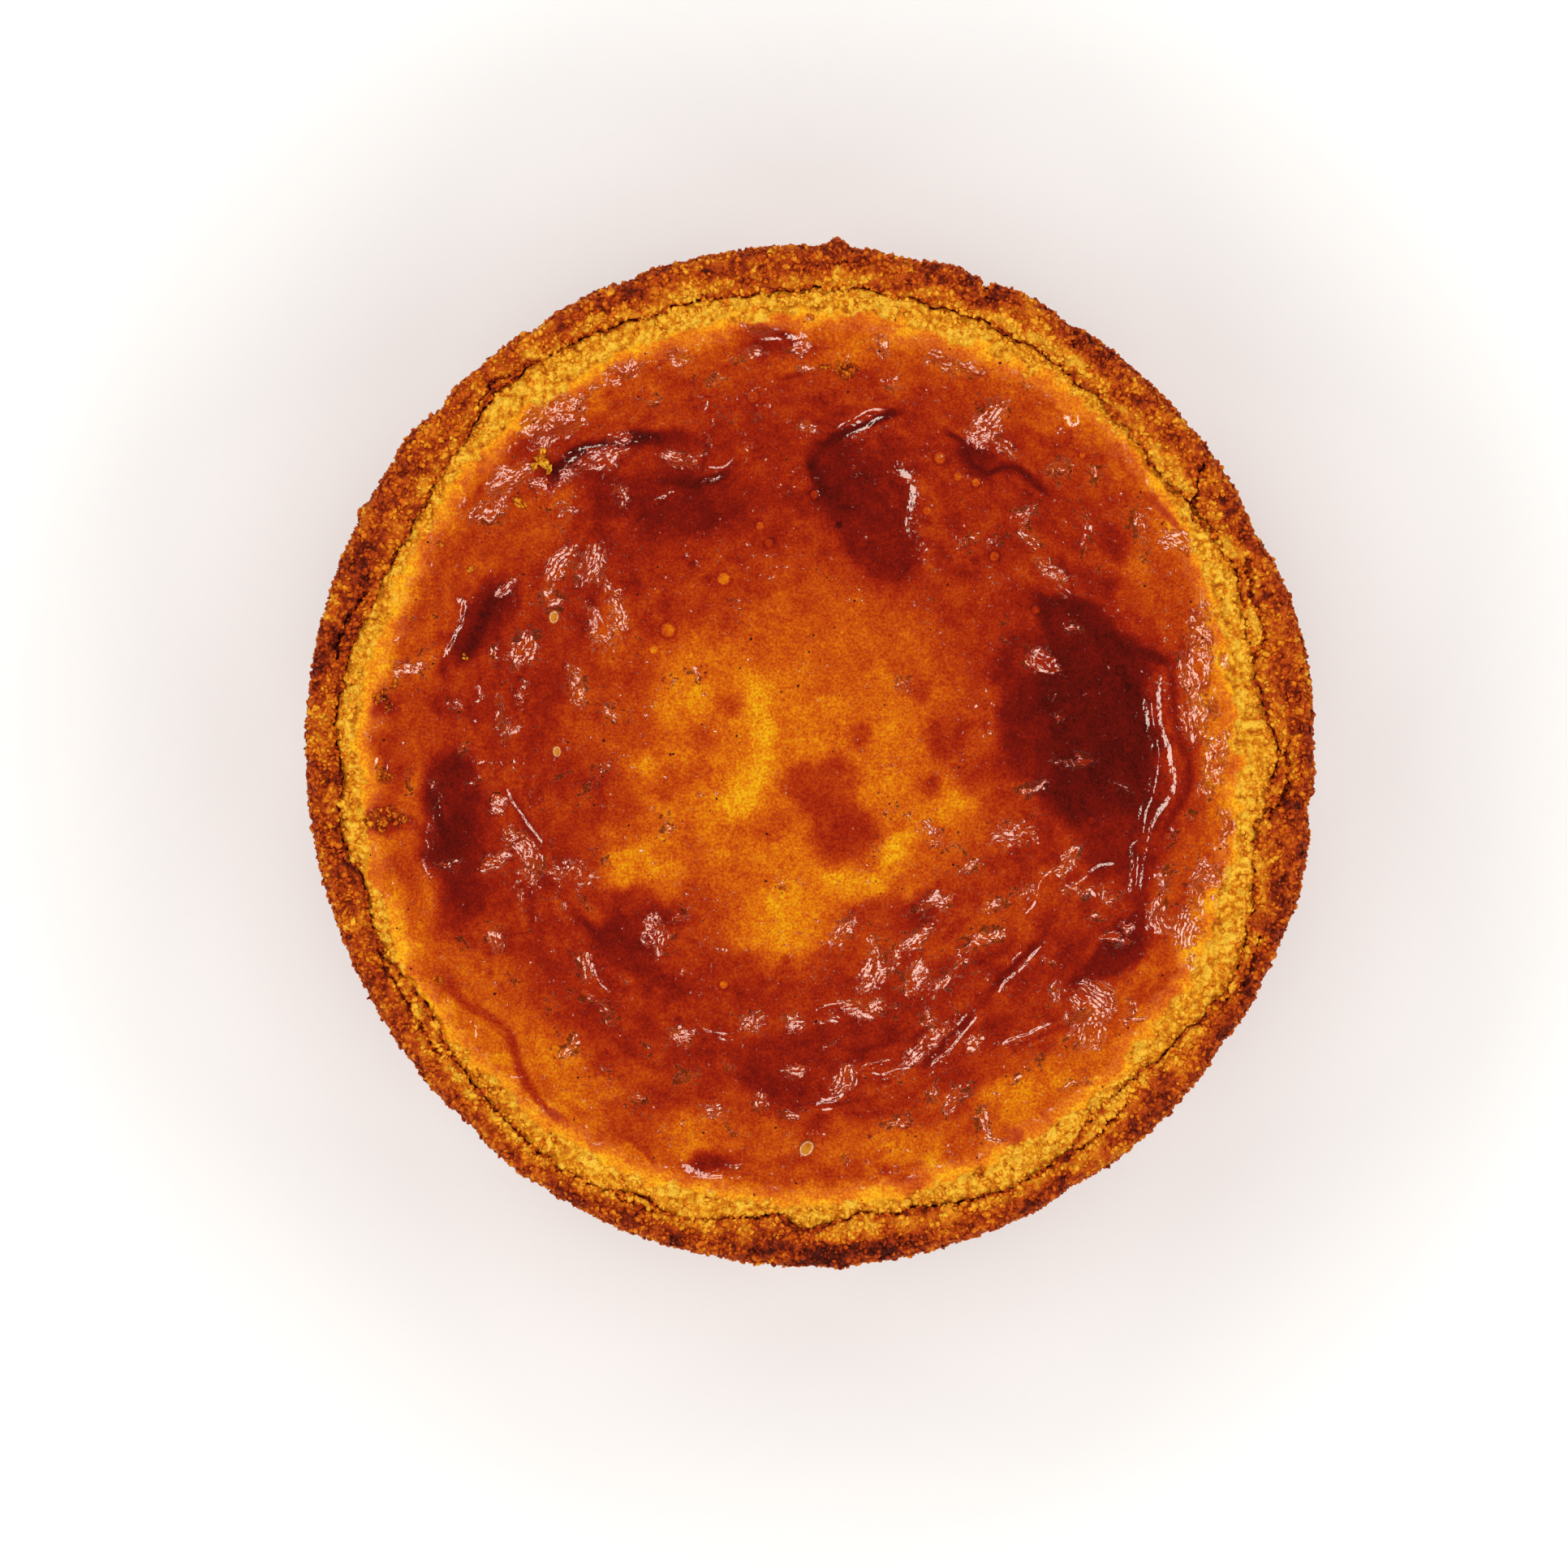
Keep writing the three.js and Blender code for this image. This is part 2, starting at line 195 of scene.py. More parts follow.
def makeMesh(name, points, faces, values=None):
    # points in millimetres; values are named numbers for each point
    mesh = bpy.data.meshes.new(name)
    mesh.from_pydata((np.asarray(points) * millimetre).tolist(), [], faces)
    for key, numbers in (values or {}).items():
        layer = mesh.attributes.new(key, "FLOAT", "POINT")
        layer.data.foreach_set("value", np.ascontiguousarray(numbers, dtype=np.float32))
    mesh.shade_smooth()
    piece = bpy.data.objects.new(name, mesh)
    bpy.context.scene.collection.objects.link(piece)
    return piece


def feed(tree, node, inputs):
    # a number, a node's first output or another output for each named or numbered input
    for key, value in inputs.items():
        if isinstance(value, bpy.types.Node):
            value = value.outputs[0]
        if isinstance(value, bpy.types.NodeSocket):
            tree.links.new(value, node.inputs[key])
        else:
            node.inputs[key].default_value = value


def addNode(tree, kind, settings=None, inputs=None):
    # one node with its settings and links
    node = tree.nodes.new(kind)
    for key, value in (settings or {}).items():
        if key == "stops":
            stops = node.color_ramp.elements
            while len(stops) < len(value):
                stops.new(0.5)
            for stop, (place, colour) in zip(stops, value):
                stop.position = place
                stop.color = linear(colour)
        else:
            setattr(node, key, value)
    feed(tree, node, inputs or {})
    return node


def newGeometryTree(name, sizes):
    # a Geometry Nodes group with a named number input for each size
    tree = bpy.data.node_groups.new(name, "GeometryNodeTree")
    tree.interface.new_socket("Geometry", in_out="INPUT", socket_type="NodeSocketGeometry")
    tree.interface.new_socket("Geometry", in_out="OUTPUT", socket_type="NodeSocketGeometry")
    for label in sizes:
        tree.interface.new_socket(label, in_out="INPUT", socket_type="NodeSocketFloat")
    return tree, addNode(tree, "NodeGroupInput").outputs


def finishGeometryTree(tree, geometry, material):
    realized = addNode(tree, "GeometryNodeRealizeInstances", inputs={"Geometry": geometry})
    coated = addNode(tree, "GeometryNodeSetMaterial", inputs={"Geometry": realized, "Material": material})
    addNode(tree, "NodeGroupOutput", inputs={0: coated})
    return tree


def runTree(source, tree, sizes, name, keepSource=False):
    # gives the source the tree's result as a plain mesh, and leaves no modifier behind
    modifier = source.modifiers.new(tree.name, "NODES")
    modifier.node_group = tree
    for item in tree.interface.items_tree:
        if item.in_out == "INPUT" and item.name in sizes:
            modifier[item.identifier] = sizes[item.name]
    evaluated = source.evaluated_get(bpy.context.evaluated_depsgraph_get())
    mesh = bpy.data.meshes.new_from_object(evaluated)
    mesh.name = name
    source.modifiers.remove(modifier)
    if keepSource:
        piece = bpy.data.objects.new(name, mesh)
        bpy.context.scene.collection.objects.link(piece)
        return piece
    source.data = mesh
    source.name = name
    return source


# Custard

custardLook = {
    # section of the skin: radius, height
    "section": [(0, 35.6), (8, 35.55), (16, 35.35), (25, 35.05), (31, 34.95), (35, 35.15), (39, 35.6),
                (42, 36.1), (44, 36.5), (46, 36.85)],
    # where the crumbly band begins: angle, radius
    "bandCourse": [
        (15, 42.0), (45, 43.6), (75, 43.1), (105, 43.2), (135, 43.9), (165, 44.0), (190, 44.9), (225, 45.1),
        (255, 44.8), (285, 44.0), (315, 43.6), (345, 42.4),
    ],
    "columns": 1680,
    "ringStep": 0.14,
    # triangles that are left once the flat stretches are thinned
    "triangles": 196000,
    # sunken pools: middle x, y, half length, half width, turn of the length, depth
    "pools": [
        (-17.5, 27, 10.5, 5.2, -3, 0.4), (5, 25, 9.5, 6.2, 108, 0.4), (17.5, 29, 5, 3, 150, 0.2),
        (28, -0.5, 16.5, 9.8, 106, 0.6), (28.5, -19.5, 5, 4.2, 120, 0.25), (0.5, -31.5, 10.5, 5, 4, 0.35),
        (-17, -18, 8.4, 4.6, -24, 0.2), (-34, -6.5, 8.5, 4.6, 80, 0.35), (-32.6, 12.5, 7, 3.2, 61, 0.25),
        (11.5, -16, 5, 3.6, 20, 0.12), (-3, 39.4, 4.6, 2.4, 4, 0.2), (-10, -40, 3.8, 2, 8, 0.15),
    ],
    # folds: height, half width, beading 0..1, ripple 0..1, then the points of each
    "folds": [
        (0.115, 0.2, 0.05, 0.05, [(34.7, 8.7), (34.8, 5), (35, 2.3), (35.7, 0.5), (36, -0.8)]),
        (0.08, 0.2, 0.05, 0.05, [(35.5, 1), (36.2, -1.6), (36.2, -3.7), (35.4, -5)]),
        (0.12, 0.2, 0.05, 0.05, [(36.1, -3.8), (35.1, -5.5), (33.9, -7.3), (33.3, -9.4), (32.9, -12.4),
                                 (32.4, -15.1)]),
        (0.13, 0.2, 0.2, 0.1, [(36.1, -4.6), (34.9, -6.4), (34, -8.5), (33.4, -12.1), (32.2, -16.4),
                               (30.4, -17.4)]),
        (0.2, 0.26, 0.12, 0.1, [(33.2, 6.2), (33.5, 4.1), (33.9, 1.4), (34.1, -0.7), (33.8, -3.1),
                                (33.2, -5.2), (32.7, -7), (32.6, -8.5), (32.1, -10.3), (31.9, -13),
                                (32.1, -15.1)]),
        (0.12, 0.2, 0.1, 0.1, [(-27.2, 26), (-26, 27.3), (-24.5, 29.4), (-23, 30.4), (-20.3, 30.8)]),
        (0.12, 0.2, 0.1, 0.1, [(-26.9, 25.4), (-25.6, 27), (-24.1, 28.9), (-22.7, 29.9)]),
        (0.22, 0.42, 0.7, 0.9, [(-26, 25.8), (-24.2, 27.3), (-23.3, 28.2), (-21.5, 28), (-20.3, 28.8),
                                (-19.1, 29.5)]),
        (0.2, 0.36, 0.5, 0.8, [(-14.4, 29.4), (-12.8, 29), (-11.4, 29.3), (-10.9, 28.2)]),
        (0.16, 0.3, 0.4, 0.4, [(-10.3, 31.6), (-10.5, 30.4), (-11.2, 29.2)]),
        (0.13, 0.22, 0.3, 0.3, [(-11.3, 27.3), (-10.4, 28.1), (-8.6, 28.1), (-7.7, 29.1), (-8, 30)]),
        (0.16, 0.26, 0.9, 0.4, [(-11, 26.2), (-9.8, 26.7), (-8.3, 27.6), (-7.7, 28.2)]),
        (0.1, 0.22, 1.0, 0.3, [(-16, 24.7), (-14, 25.5), (-12.8, 25.8)]),
        (0.1, 0.22, 1.0, 0.3, [(-4.4, 26.2), (-2.4, 26.2), (0.1, 26.2)]),
        (0.17, 0.22, 0.2, 0.2, [(1.9, 31.5), (4, 32.7), (5.8, 33.6), (8.2, 33.9)]),
        (0.3, 0.4, 0.45, 0.3, [(2.8, 30.4), (4, 31.2), (5.5, 31.8), (6.7, 32.7), (8.5, 33.3)]),
        (0.14, 0.26, 0.4, 0.4, [(8.9, 35), (9.6, 34.7), (10.2, 34.2)]),
        (0.31, 0.8, 0.1, 0.35, [(12.9, 17.2), (11.4, 19.5), (10.8, 21), (10.2, 22.5), (10.4, 24),
                                (10.7, 26.4), (9.9, 28), (8, 28.2)]),
        (0.12, 0.2, 0.3, 0.3, [(-12.2, 34.9), (-10.8, 35), (-10.6, 34.3), (-11.6, 33.5)]),
        (0.26, 0.6, 0.3, 0.8, [(-21.4, 18.9), (-20.2, 17), (-19.3, 15), (-18.9, 13), (-18.4, 11.2)]),
        (0.2, 0.5, 0.6, 1.0, [(-22.4, 15), (-21.4, 13), (-20, 10.2)]),
        (0.22, 0.5, 0.5, 0.8, [(-23.9, 9.2), (-23.6, 7), (-22.8, 5.4)]),
        (0.16, 0.3, 0.1, 0.4, [(-35, 16), (-34.7, 13.3), (-35.6, 11.5), (-36.8, 9.1)]),
        (0.2, 0.36, 0.2, 0.4, [(-33.2, 7.1), (-33.1, 5.6), (-33.6, 4.6)]),
        (0.2, 0.34, 0.7, 0.6, [(-31, 6.1), (-31.2, 4.4), (-31.3, 2.7)]),
        (0.18, 0.34, 0.3, 0.5, [(-28.2, 7.6), (-28.4, 6), (-29, 4.2), (-29, 3.6)]),
        (0.2, 0.36, 0.2, 0.4, [(-31, 2.4), (-30, 1.6), (-29.4, 2.4), (-29.4, 3.4)]),
        (0.22, 0.44, 0.2, 0.3, [(-32.6, -0.6), (-32.2, -1.4), (-31.2, -1.4)]),
        (0.05, 0.2, 0.5, 0.1, [(-38.9, -9.8), (-38.4, -11.4), (-37.5, -13.4)]),
        (0.16, 0.22, 0.3, 0.1, [(-26, -9.5), (-28.1, -6.8), (-29.3, -5), (-29.9, -3.5), (-30.6, -2.9)]),
        (0.26, 0.5, 0.2, 0.9, [(-30.4, -7.6), (-29.4, -8), (-28, -9.4), (-26.6, -10.8), (-26.8, -12.8)]),
        (0.24, 0.5, 0.4, 0.9, [(-29.8, -8.6), (-30.8, -10), (-31.8, -11.2)]),
        (0.16, 0.3, 0.4, 0.6, [(-29.4, -12.4), (-28.7, -14.4), (-28.3, -16.6), (-28.4, -17.8)]),
        (0.1, 0.18, 0.1, 0.1, [(-28.2, -12), (-27.8, -14), (-27.3, -18)]),
        (0.12, 0.2, 0.3, 0.3, [(26, -9.9), (23.9, -11.4), (22.4, -12.9), (21.8, -15), (20.4, -16.4)]),
        (0.2, 0.26, 0.5, 0.3, [(25.5, -13.9), (27.9, -11.8), (29.4, -11.2), (30.6, -11.4)]),
        (0.13, 0.22, 0.1, 0.3, [(22.1, -18.6), (20, -20.1), (18.8, -21.6), (17, -23.6)]),
        (0.2, 0.28, 0.5, 0.3, [(23, -18.3), (20.9, -21), (19.1, -22.5), (17.8, -24.3)]),
        (0.16, 0.2, 0.2, 0.2, [(16.1, -24.9), (14.9, -27), (13.4, -27.6)]),
        (0.21, 0.24, 0.5, 0.3, [(16.7, -25.5), (15.2, -27.3), (14, -28.8), (12.8, -30), (11, -31.5)]),
        (0.2, 0.24, 0.5, 0.3, [(18, -29.8), (19.4, -28.8), (21.2, -28), (24.3, -26.7)]),
        (0.19, 0.24, 0.3, 0.3, [(0, -26.2), (1.5, -25.2), (3.5, -24.9), (5.5, -24.8)]),
        (0.18, 0.24, 0.5, 0.4, [(0.1, -26.6), (2, -26.2), (3.5, -26.8)]),
        (0.16, 0.2, 0.3, 0.2, [(4.1, -31.5), (5.9, -31), (7.4, -30.8), (9, -30.2)]),
        (0.19, 0.22, 0.6, 0.3, [(5, -31.8), (6.5, -32), (8.9, -31.5), (11, -31.5)]),
        (0.17, 0.2, 0.4, 0.2, [(4.6, -31.4), (4.1, -33), (3, -34.2), (2, -34.7), (0, -35.1)]),
        (0.17, 0.2, 0.5, 0.2, [(5.9, -33.5), (4.1, -33.9), (2, -35.4), (0.2, -35.7)]),
        (0.2, 0.24, 0.5, 0.3, [(-12.1, -27.1), (-10, -27.8), (-7.5, -27.8), (-5.9, -26.4), (-4.7, -25.4)]),
        (0.17, 0.24, 0.5, 0.3, [(-21.9, -20.5), (-21.2, -22.6), (-19.4, -24.6)]),
        (0.14, 0.24, 0.1, 0.2, [(25.9, 34), (26, 33), (26.2, 32.2)]),
        (0.1, 0.2, 0.3, 0.2, [(25.4, -22), (25, -24), (24.6, -25.5)]),
        (0.14, 0.26, 0.3, 0.5, [(40.9, -8.4), (41, -9.4), (40.7, -10.3)]),
        (0.14, 0.26, 0.2, 0.4, [(38.4, 16.2), (38.8, 15.2), (38.7, 14.1)]),
        (0.16, 0.32, 0.5, 0.6, [(-23.8, 34.3), (-22.2, 35.4), (-20.6, 36.6)]),
        (0.1, 0.22, 0.9, 0.3, [(-21.4, 33.6), (-19.8, 34.2), (-18.2, 35), (-17.3, 35), (-17.6, 33.4)]),
        (0.2, 0.5, 0.3, 0.5, [(25.9, 16.4), (24.8, 17.6), (23.4, 18.3)]),
        (0.16, 0.3, 0.2, 0.4, [(24.6, 17.2), (24.9, 16.2), (25.8, 15.2)]),
        (0.2, 0.4, 0.3, 0.5, [(38.6, 12.4), (38.3, 11), (39.2, 9.8)]),
    ],
    # millimetres from one ripple to the next
    "rippleLength": 0.5,
    # rippled places that glint: middle x, y, half length, half width, turn, strength
    "ripples": [
        (-25.6, 32.7, 3.2, 2.1, 30, 1), (-18.4, 37.7, 1.7, 0.8, 20, 0.9), (-21.4, 36.4, 0.6, 0.4, 0, 0.8),
        (-30.1, 27.1, 2.2, 1.1, 25, 1), (-32.4, 23.6, 2, 1.1, 30, 0.9), (-31.7, 21.7, 0.3, 1.2, 0, 0.6),
        (-24.8, 19, 2.3, 0.9, 55, 1), (-21.6, 18.6, 1.9, 1.3, 70, 0.9), (-30.2, 16.2, 1.1, 0.7, 40, 0.8),
        (-25.8, 14.8, 1, 0.8, 0, 0.9), (-24.5, 23.9, 1.4, 0.9, 0, 0.5), (-18.7, 25.6, 0.8, 1.4, 0, 0.7),
        (-26.9, 26.5, 0.6, 0.5, 0, 1), (-21, 29.2, 2.2, 0.9, 15, 1), (-18.8, 30.9, 1.2, 0.5, -10, 1),
        (-12.9, 28.9, 1.8, 0.8, -5, 0.9), (-9, 33.2, 1.4, 0.4, -5, 0.6), (-4.8, 33, 0.5, 0.6, 0, 0.7),
        (-0.2, 32.2, 0.8, 0.6, 0, 0.9), (-14, 7, 0.6, 0.9, 0, 0.6), (-11.5, 8.2, 0.6, 0.8, 0, 0.6),
        (-7.2, 14.3, 0.8, 1, 0, 0.5), (4.5, 28.2, 1.8, 0.5, -40, 0.55), (17.5, 32.6, 2.5, 1.3, 60, 1),
        (19, 30.2, 1.5, 0.7, -40, 1), (24.4, 27.9, 1.3, 1, 0, 1), (20.8, 23.9, 1.3, 0.6, 20, 0.9),
        (21.8, 21.5, 1.8, 0.6, -55, 0.9), (23.8, 18.2, 1.6, 0.8, -20, 0.9), (27, 22.3, 2.4, 0.6, 90, 0.5),
        (15.6, 21.1, 1.2, 0.6, 0, 0.7), (18.1, 20.7, 0.7, 1, 0, 0.6), (22.9, 9, 1.8, 1, -30, 1),
        (19.2, 12, 0.5, 1.2, 0, 0.5), (26, 12.3, 1.6, 0.4, -40, 0.7), (9.5, 6.4, 1.3, 0.8, 0, 0.7),
        (-28.4, 10.3, 1.5, 1.2, 60, 1), (-31, 10.1, 0.9, 0.45, 90, 0.9), (-31, 4.2, 1.8, 0.6, 85, 0.8),
        (-30, 2, 1.3, 0.9, 60, 0.9), (-35.4, 5, 0.9, 0.5, 20, 0.8), (-23.3, 6.8, 2.1, 0.9, 100, 1),
        (-19.8, 4.3, 1.6, 0.6, 120, 0.7), (-40, 8, 2.4, 0.8, 20, 0.6), (-34.6, 0.4, 0.7, 0.5, 70, 0.7),
        (-39.7, 13.4, 0.7, 0.4, 0, 0.5), (-38.2, 10, 0.7, 0.5, 20, 0.5), (-39.7, -3.2, 0.7, 0.4, 80, 0.8),
        (-37.7, -3.3, 0.7, 0.4, 20, 0.8), (-35.6, -11.1, 1.4, 0.4, 0, 0.9), (-31, -5.3, 1, 0.8, 0, 1),
        (-29.5, -8.2, 1.3, 1, 0, 1), (-27.2, -11.4, 1.4, 1.1, 60, 0.9), (-31.6, -10.8, 1.2, 0.8, 30, 1),
        (-24.3, -11.4, 1.8, 1, 20, 0.6), (-20.3, -1.3, 1, 0.8, -20, 0.8), (-22.2, -3.8, 1.3, 0.5, 50, 0.7),
        (-14.3, -6.8, 0.5, 1.3, 0, 0.9), (-20.5, -10.5, 0.7, 0.4, 0, 0.7), (6.8, -21.2, 2.9, 1.1, 42, 1),
        (10.4, -18.2, 2.4, 0.6, 38, 0.9), (5.2, -22.6, 1.2, 0.6, 20, 0.9), (10.4, -22.2, 1.9, 0.8, 70, 1),
        (13.6, -22, 3, 0.7, 52, 0.7), (17.2, -18.2, 2.6, 0.7, 22, 0.9), (12, -14.8, 1.5, 0.7, 25, 0.9),
        (18.4, -14.8, 1.8, 0.7, 15, 0.8), (21.2, -13.8, 1.2, 0.7, 30, 0.7), (19.5, -8.5, 1.8, 1.2, 0, 0.7),
        (16, -11.3, 2, 0.6, 35, 0.7), (25, -10.8, 1.6, 0.7, 45, 0.9), (25.6, -13.5, 0.9, 0.6, 0, 0.9),
        (11.5, -28.8, 2.9, 0.9, 35, 0.8), (11.4, -26.5, 0.9, 0.8, 0, 0.9), (16.2, -28.9, 1, 0.8, -10, 0.9),
        (5.6, -25.2, 2.4, 0.8, 0, 1), (-1.7, -26.9, 0.9, 0.9, 0, 1), (-2, -31.5, 1.2, 0.5, 10, 0.9),
        (3.4, -32.4, 1.6, 0.9, 60, 1), (12.1, -33.5, 1.1, 0.5, 85, 0.8), (14, -34.5, 1.2, 0.7, 60, 0.7),
        (24.2, -24, 1.2, 0.6, 70, 0.8), (25.7, -26.3, 0.6, 0.7, 0, 0.8), (22.3, -30.4, 0.5, 0.8, 20, 0.8),
        (3.2, -17.8, 1.9, 0.8, 45, 0.8), (5.9, -19, 0.5, 1.1, 0, 0.8), (-3.4, -12.8, 0.7, 0.5, 0, 0.6),
        (6.2, -9.2, 0.4, 1, 0, 0.6), (11.6, -8.2, 2.1, 0.9, -45, 0.55), (8.4, -5.8, 1.6, 0.6, -30, 0.5),
        (14.2, -9.8, 1.6, 0.4, -40, 0.5), (30.2, -18.4, 1.7, 0.6, -5, 1), (31.2, -17, 1, 0.5, 0, 0.8),
        (27.8, -16.6, 1, 0.5, 0, 0.7), (29, -14.3, 0.8, 0.9, 0, 0.8), (27.4, -14, 0.9, 0.7, 0, 0.8),
        (34.1, -15.9, 0.9, 1.9, 5, 1), (35.1, -12.5, 0.8, 1.3, 0, 0.9), (38, -14.4, 1.5, 0.8, -60, 1),
        (37, -17.5, 1.8, 1.5, 70, 1), (37.7, -21, 0.9, 1, 0, 0.7), (39, -12.2, 1.3, 0.9, 0, 0.9),
        (23.6, -20.8, 1.3, 0.4, -10, 0.7), (27.9, -24.6, 2.2, 1.8, -30, 1), (27.4, -27.6, 1.8, 1.4, 60, 1),
        (31.5, -25, 1.1, 0.5, -70, 0.9), (31.8, -26.6, 1.2, 0.4, 0, 0.7), (27, -32.2, 0.5, 0.7, 0, 0.6),
        (25.5, -32.9, 0.9, 0.4, 10, 0.7), (16.9, -36.2, 1.3, 0.6, 110, 0.9),
        (18.3, -38, 1.2, 0.5, -10, 0.9), (37.9, 8, 1.2, 3.2, -3, 1), (38.8, 11.6, 0.8, 1.3, 20, 1),
        (40.6, 9.2, 0.8, 1, 0, 0.8), (37.8, 2.9, 1.3, 1.9, 0, 1), (40, -0.7, 1.1, 2.2, 0, 1),
        (41.7, 1.6, 0.7, 1.1, 0, 0.8), (38.9, -3.6, 0.6, 0.9, 0, 0.9), (37.9, -6.1, 0.8, 0.3, 0, 0.9),
        (40.8, -7, 0.7, 1.5, 0, 1), (39.3, -11.8, 1.2, 1.1, 0, 1), (35.4, -9, 1.3, 0.5, 75, 0.7),
        (24, 5.6, 0.7, 0.4, 0, 0.8), (24.8, 3.7, 1.2, 0.5, 0, 0.7), (26.3, -0.8, 2, 0.6, 5, 0.9),
        (21.8, -3.3, 1.9, 0.5, 15, 0.8), (30.9, -3.6, 1, 0.4, -20, 0.7), (20, -8, 2.8, 1.2, 0, 0.5),
        (27.7, -14, 0.9, 0.7, 0, 0.8), (30, -14.8, 0.8, 0.7, 0, 0.7), (32.4, 22.7, 1.5, 0.7, 95, 1),
        (36.3, 20.8, 1.9, 0.9, -15, 1), (33.1, 20.2, 0.5, 0.8, 0, 0.8), (38.1, 13, 0.9, 1.1, 0, 0.9),
        (28.6, 17.4, 0.4, 0.4, 0, 0.9), (15.2, 37.7, 1.5, 0.7, 0, 0.8), (21, 36.6, 0.5, 0.4, 0, 0.7),
        (19.6, 39.3, 0.6, 0.9, 0, 0.6), (27.8, 27.6, 0.5, 0.7, 0, 0.9), (-5.2, 42, 1.7, 0.5, 0, 0.8),
        (0.2, 43, 0.7, 0.8, 0, 0.8), (-1.5, 39.9, 1.5, 0.4, 15, 1), (-6, 39.3, 1.9, 0.6, 0, 0.9),
        (-12.8, 39.2, 1.3, 0.8, 0, 0.9), (-0.8, 38.2, 0.9, 0.4, 0, 0.7), (6.7, 40.2, 1, 1.2, 0, 0.7),
        (12.3, 38.8, 1.6, 0.8, 0, 0.9), (-31.1, -18.8, 1.4, 0.8, 100, 1), (-22.2, -21.2, 1.2, 0.9, 100, 1),
        (-22.7, -14.5, 0.9, 0.5, -60, 0.7), (-22.1, -24.4, 0.8, 0.7, 0, 0.8),
        (-20, -26.3, 0.9, 0.6, -50, 0.9), (-23.6, -29.2, 1.3, 0.8, 60, 0.8),
        (-29.2, -22.3, 0.5, 0.5, 0, 0.7), (-26, -25.3, 1.2, 0.3, 80, 0.6), (-12.9, -28, 1.1, 0.9, 20, 1),
        (-12, -31.7, 1, 0.7, 0, 1), (-15.4, -18, 1.1, 2.3, 10, 0.8), (-12.4, -16.2, 1, 0.7, 0, 0.8),
        (-17, -34.3, 0.8, 0.6, 0, 0.7), (-10, -35.2, 1.6, 1, 0, 0.6), (-7.9, -31, 0.7, 0.6, 0, 0.8),
        (-4.8, -34.4, 0.8, 1, 0, 0.8), (-1.6, -35.7, 0.8, 0.5, 0, 0.9), (8.6, -36.8, 1.8, 0.5, 15, 0.9),
        (3.6, -40.3, 0.4, 0.6, 0, 0.9), (-7.8, -40.5, 0.8, 0.4, 0, 0.8), (-5.8, -26.3, 1.3, 0.9, 20, 0.9),
        (40.6, -13, 0.8, 2, -10, 0.9), (39.8, 4.6, 0.8, 1.4, 0, 0.7), (39.4, 14.4, 0.6, 1.2, 10, 0.7),
        (-20.6, 11.4, 1.6, 1.1, 70, 0.6), (-34.4, -18.6, 1.4, 0.4, -30, 0.6),
        (-28.6, -10, 1.6, 0.5, -50, 0.8), (-22, -12.6, 1.4, 0.6, 20, 0.5), (-33.4, -2.6, 0.8, 0.4, 40, 0.5),
        (-24.6, -2.4, 0.9, 0.3, 50, 0.6), (15.4, -33, 1.6, 0.5, 40, 0.6), (20.6, -32.4, 1.2, 0.4, 30, 0.6),
        (2, -29, 1.4, 0.3, 0, 0.6), (-16, -29.4, 1.4, 0.4, -20, 0.6), (-20.4, -31, 1.2, 0.5, -30, 0.5),
        (-7.4, -37.6, 1.2, 0.4, 0, 0.5), (8, 36.6, 1.3, 0.5, -10, 0.6), (-9.4, 36.8, 1.4, 0.5, 0, 0.6),
        (-15.6, 34.4, 1.3, 0.6, 10, 0.5),
    ],
    # scorch painted in this order: middle x, y, half length, half width, turn, how dark 0..1, softness
    "scorches": [
        (-28, -31, 12, 4, -42, 0.40, 0.7), (-33, -20, 5, 3, -60, 0.46, 0.7),
        (21, -34, 7, 3.4, 30, 0.36, 0.7), (28, -30.5, 5, 2.6, 45, 0.42, 0.7),
        (40.4, 2, 13, 2, 92, 0.32, 0.7), (34.5, -22, 4, 3, 60, 0.5, 0.7), (25, 34, 7, 2.6, -38, 0.5, 0.7),
        (31, 29, 5, 3, -45, 0.47, 0.7), (33, 17, 6, 3, -60, 0.5, 0.7), (-39, 8, 8, 2.4, 84, 0.52, 0.7),
        (-37, 20, 7, 2.4, 62, 0.55, 0.7), (-40, -6, 6, 2, 95, 0.54, 0.7), (6, 40, 9, 2.2, -6, 0.48, 0.7),
        (-14, 39, 6, 2, 20, 0.55, 0.7), (0, -38.4, 16, 2.6, 0, 0.5, 0.7),
        (39.6, -16, 3, 1.4, 70, 0.42, 0.7), (-39.4, -15, 4, 1.8, 110, 0.5, 0.7),
        (9.5, -39, 3, 1.8, 0, 0.38, 0.7), (-12, -37.5, 3.4, 2.4, 0, 0.42, 0.7),
        (-30.5, 20.4, 4.6, 2.2, 10, 0.54, 0.7), (-1, -4, 16, 13, 0, 0.35, 0.5),
        (-15, -10, 7, 3.2, 15, 0.35, 0.6), (-3, -17, 4.6, 4, 90, 0.34, 0.6), (5, 11, 9, 5, -10, 0.48, 0.8),
        (-11, 9, 5, 3, 0, 0.40, 0.8), (-5.2, 3, 5, 1.8, 96, 0.14, 0.7), (-7, -4, 3.4, 1.9, 50, 0.12, 0.7),
        (4.5, -12.3, 4.6, 1.4, 3, 0.2, 0.7), (8.2, -9.8, 2.2, 1.6, 50, 0.2, 0.7),
        (14.6, -5, 3.4, 2, 70, 0.26, 0.7), (6.8, 8, 2.2, 1.2, 20, 0.32, 0.7),
        (-12.6, 5.5, 3.4, 2.2, 0, 0.28, 0.7), (-17.4, -11.8, 3.8, 1.6, 10, 0.3, 0.7),
        (-3, -16.6, 2.6, 3, 0, 0.24, 0.7), (-16.5, -1.5, 2.6, 1.4, 0, 0.32, 0.7),
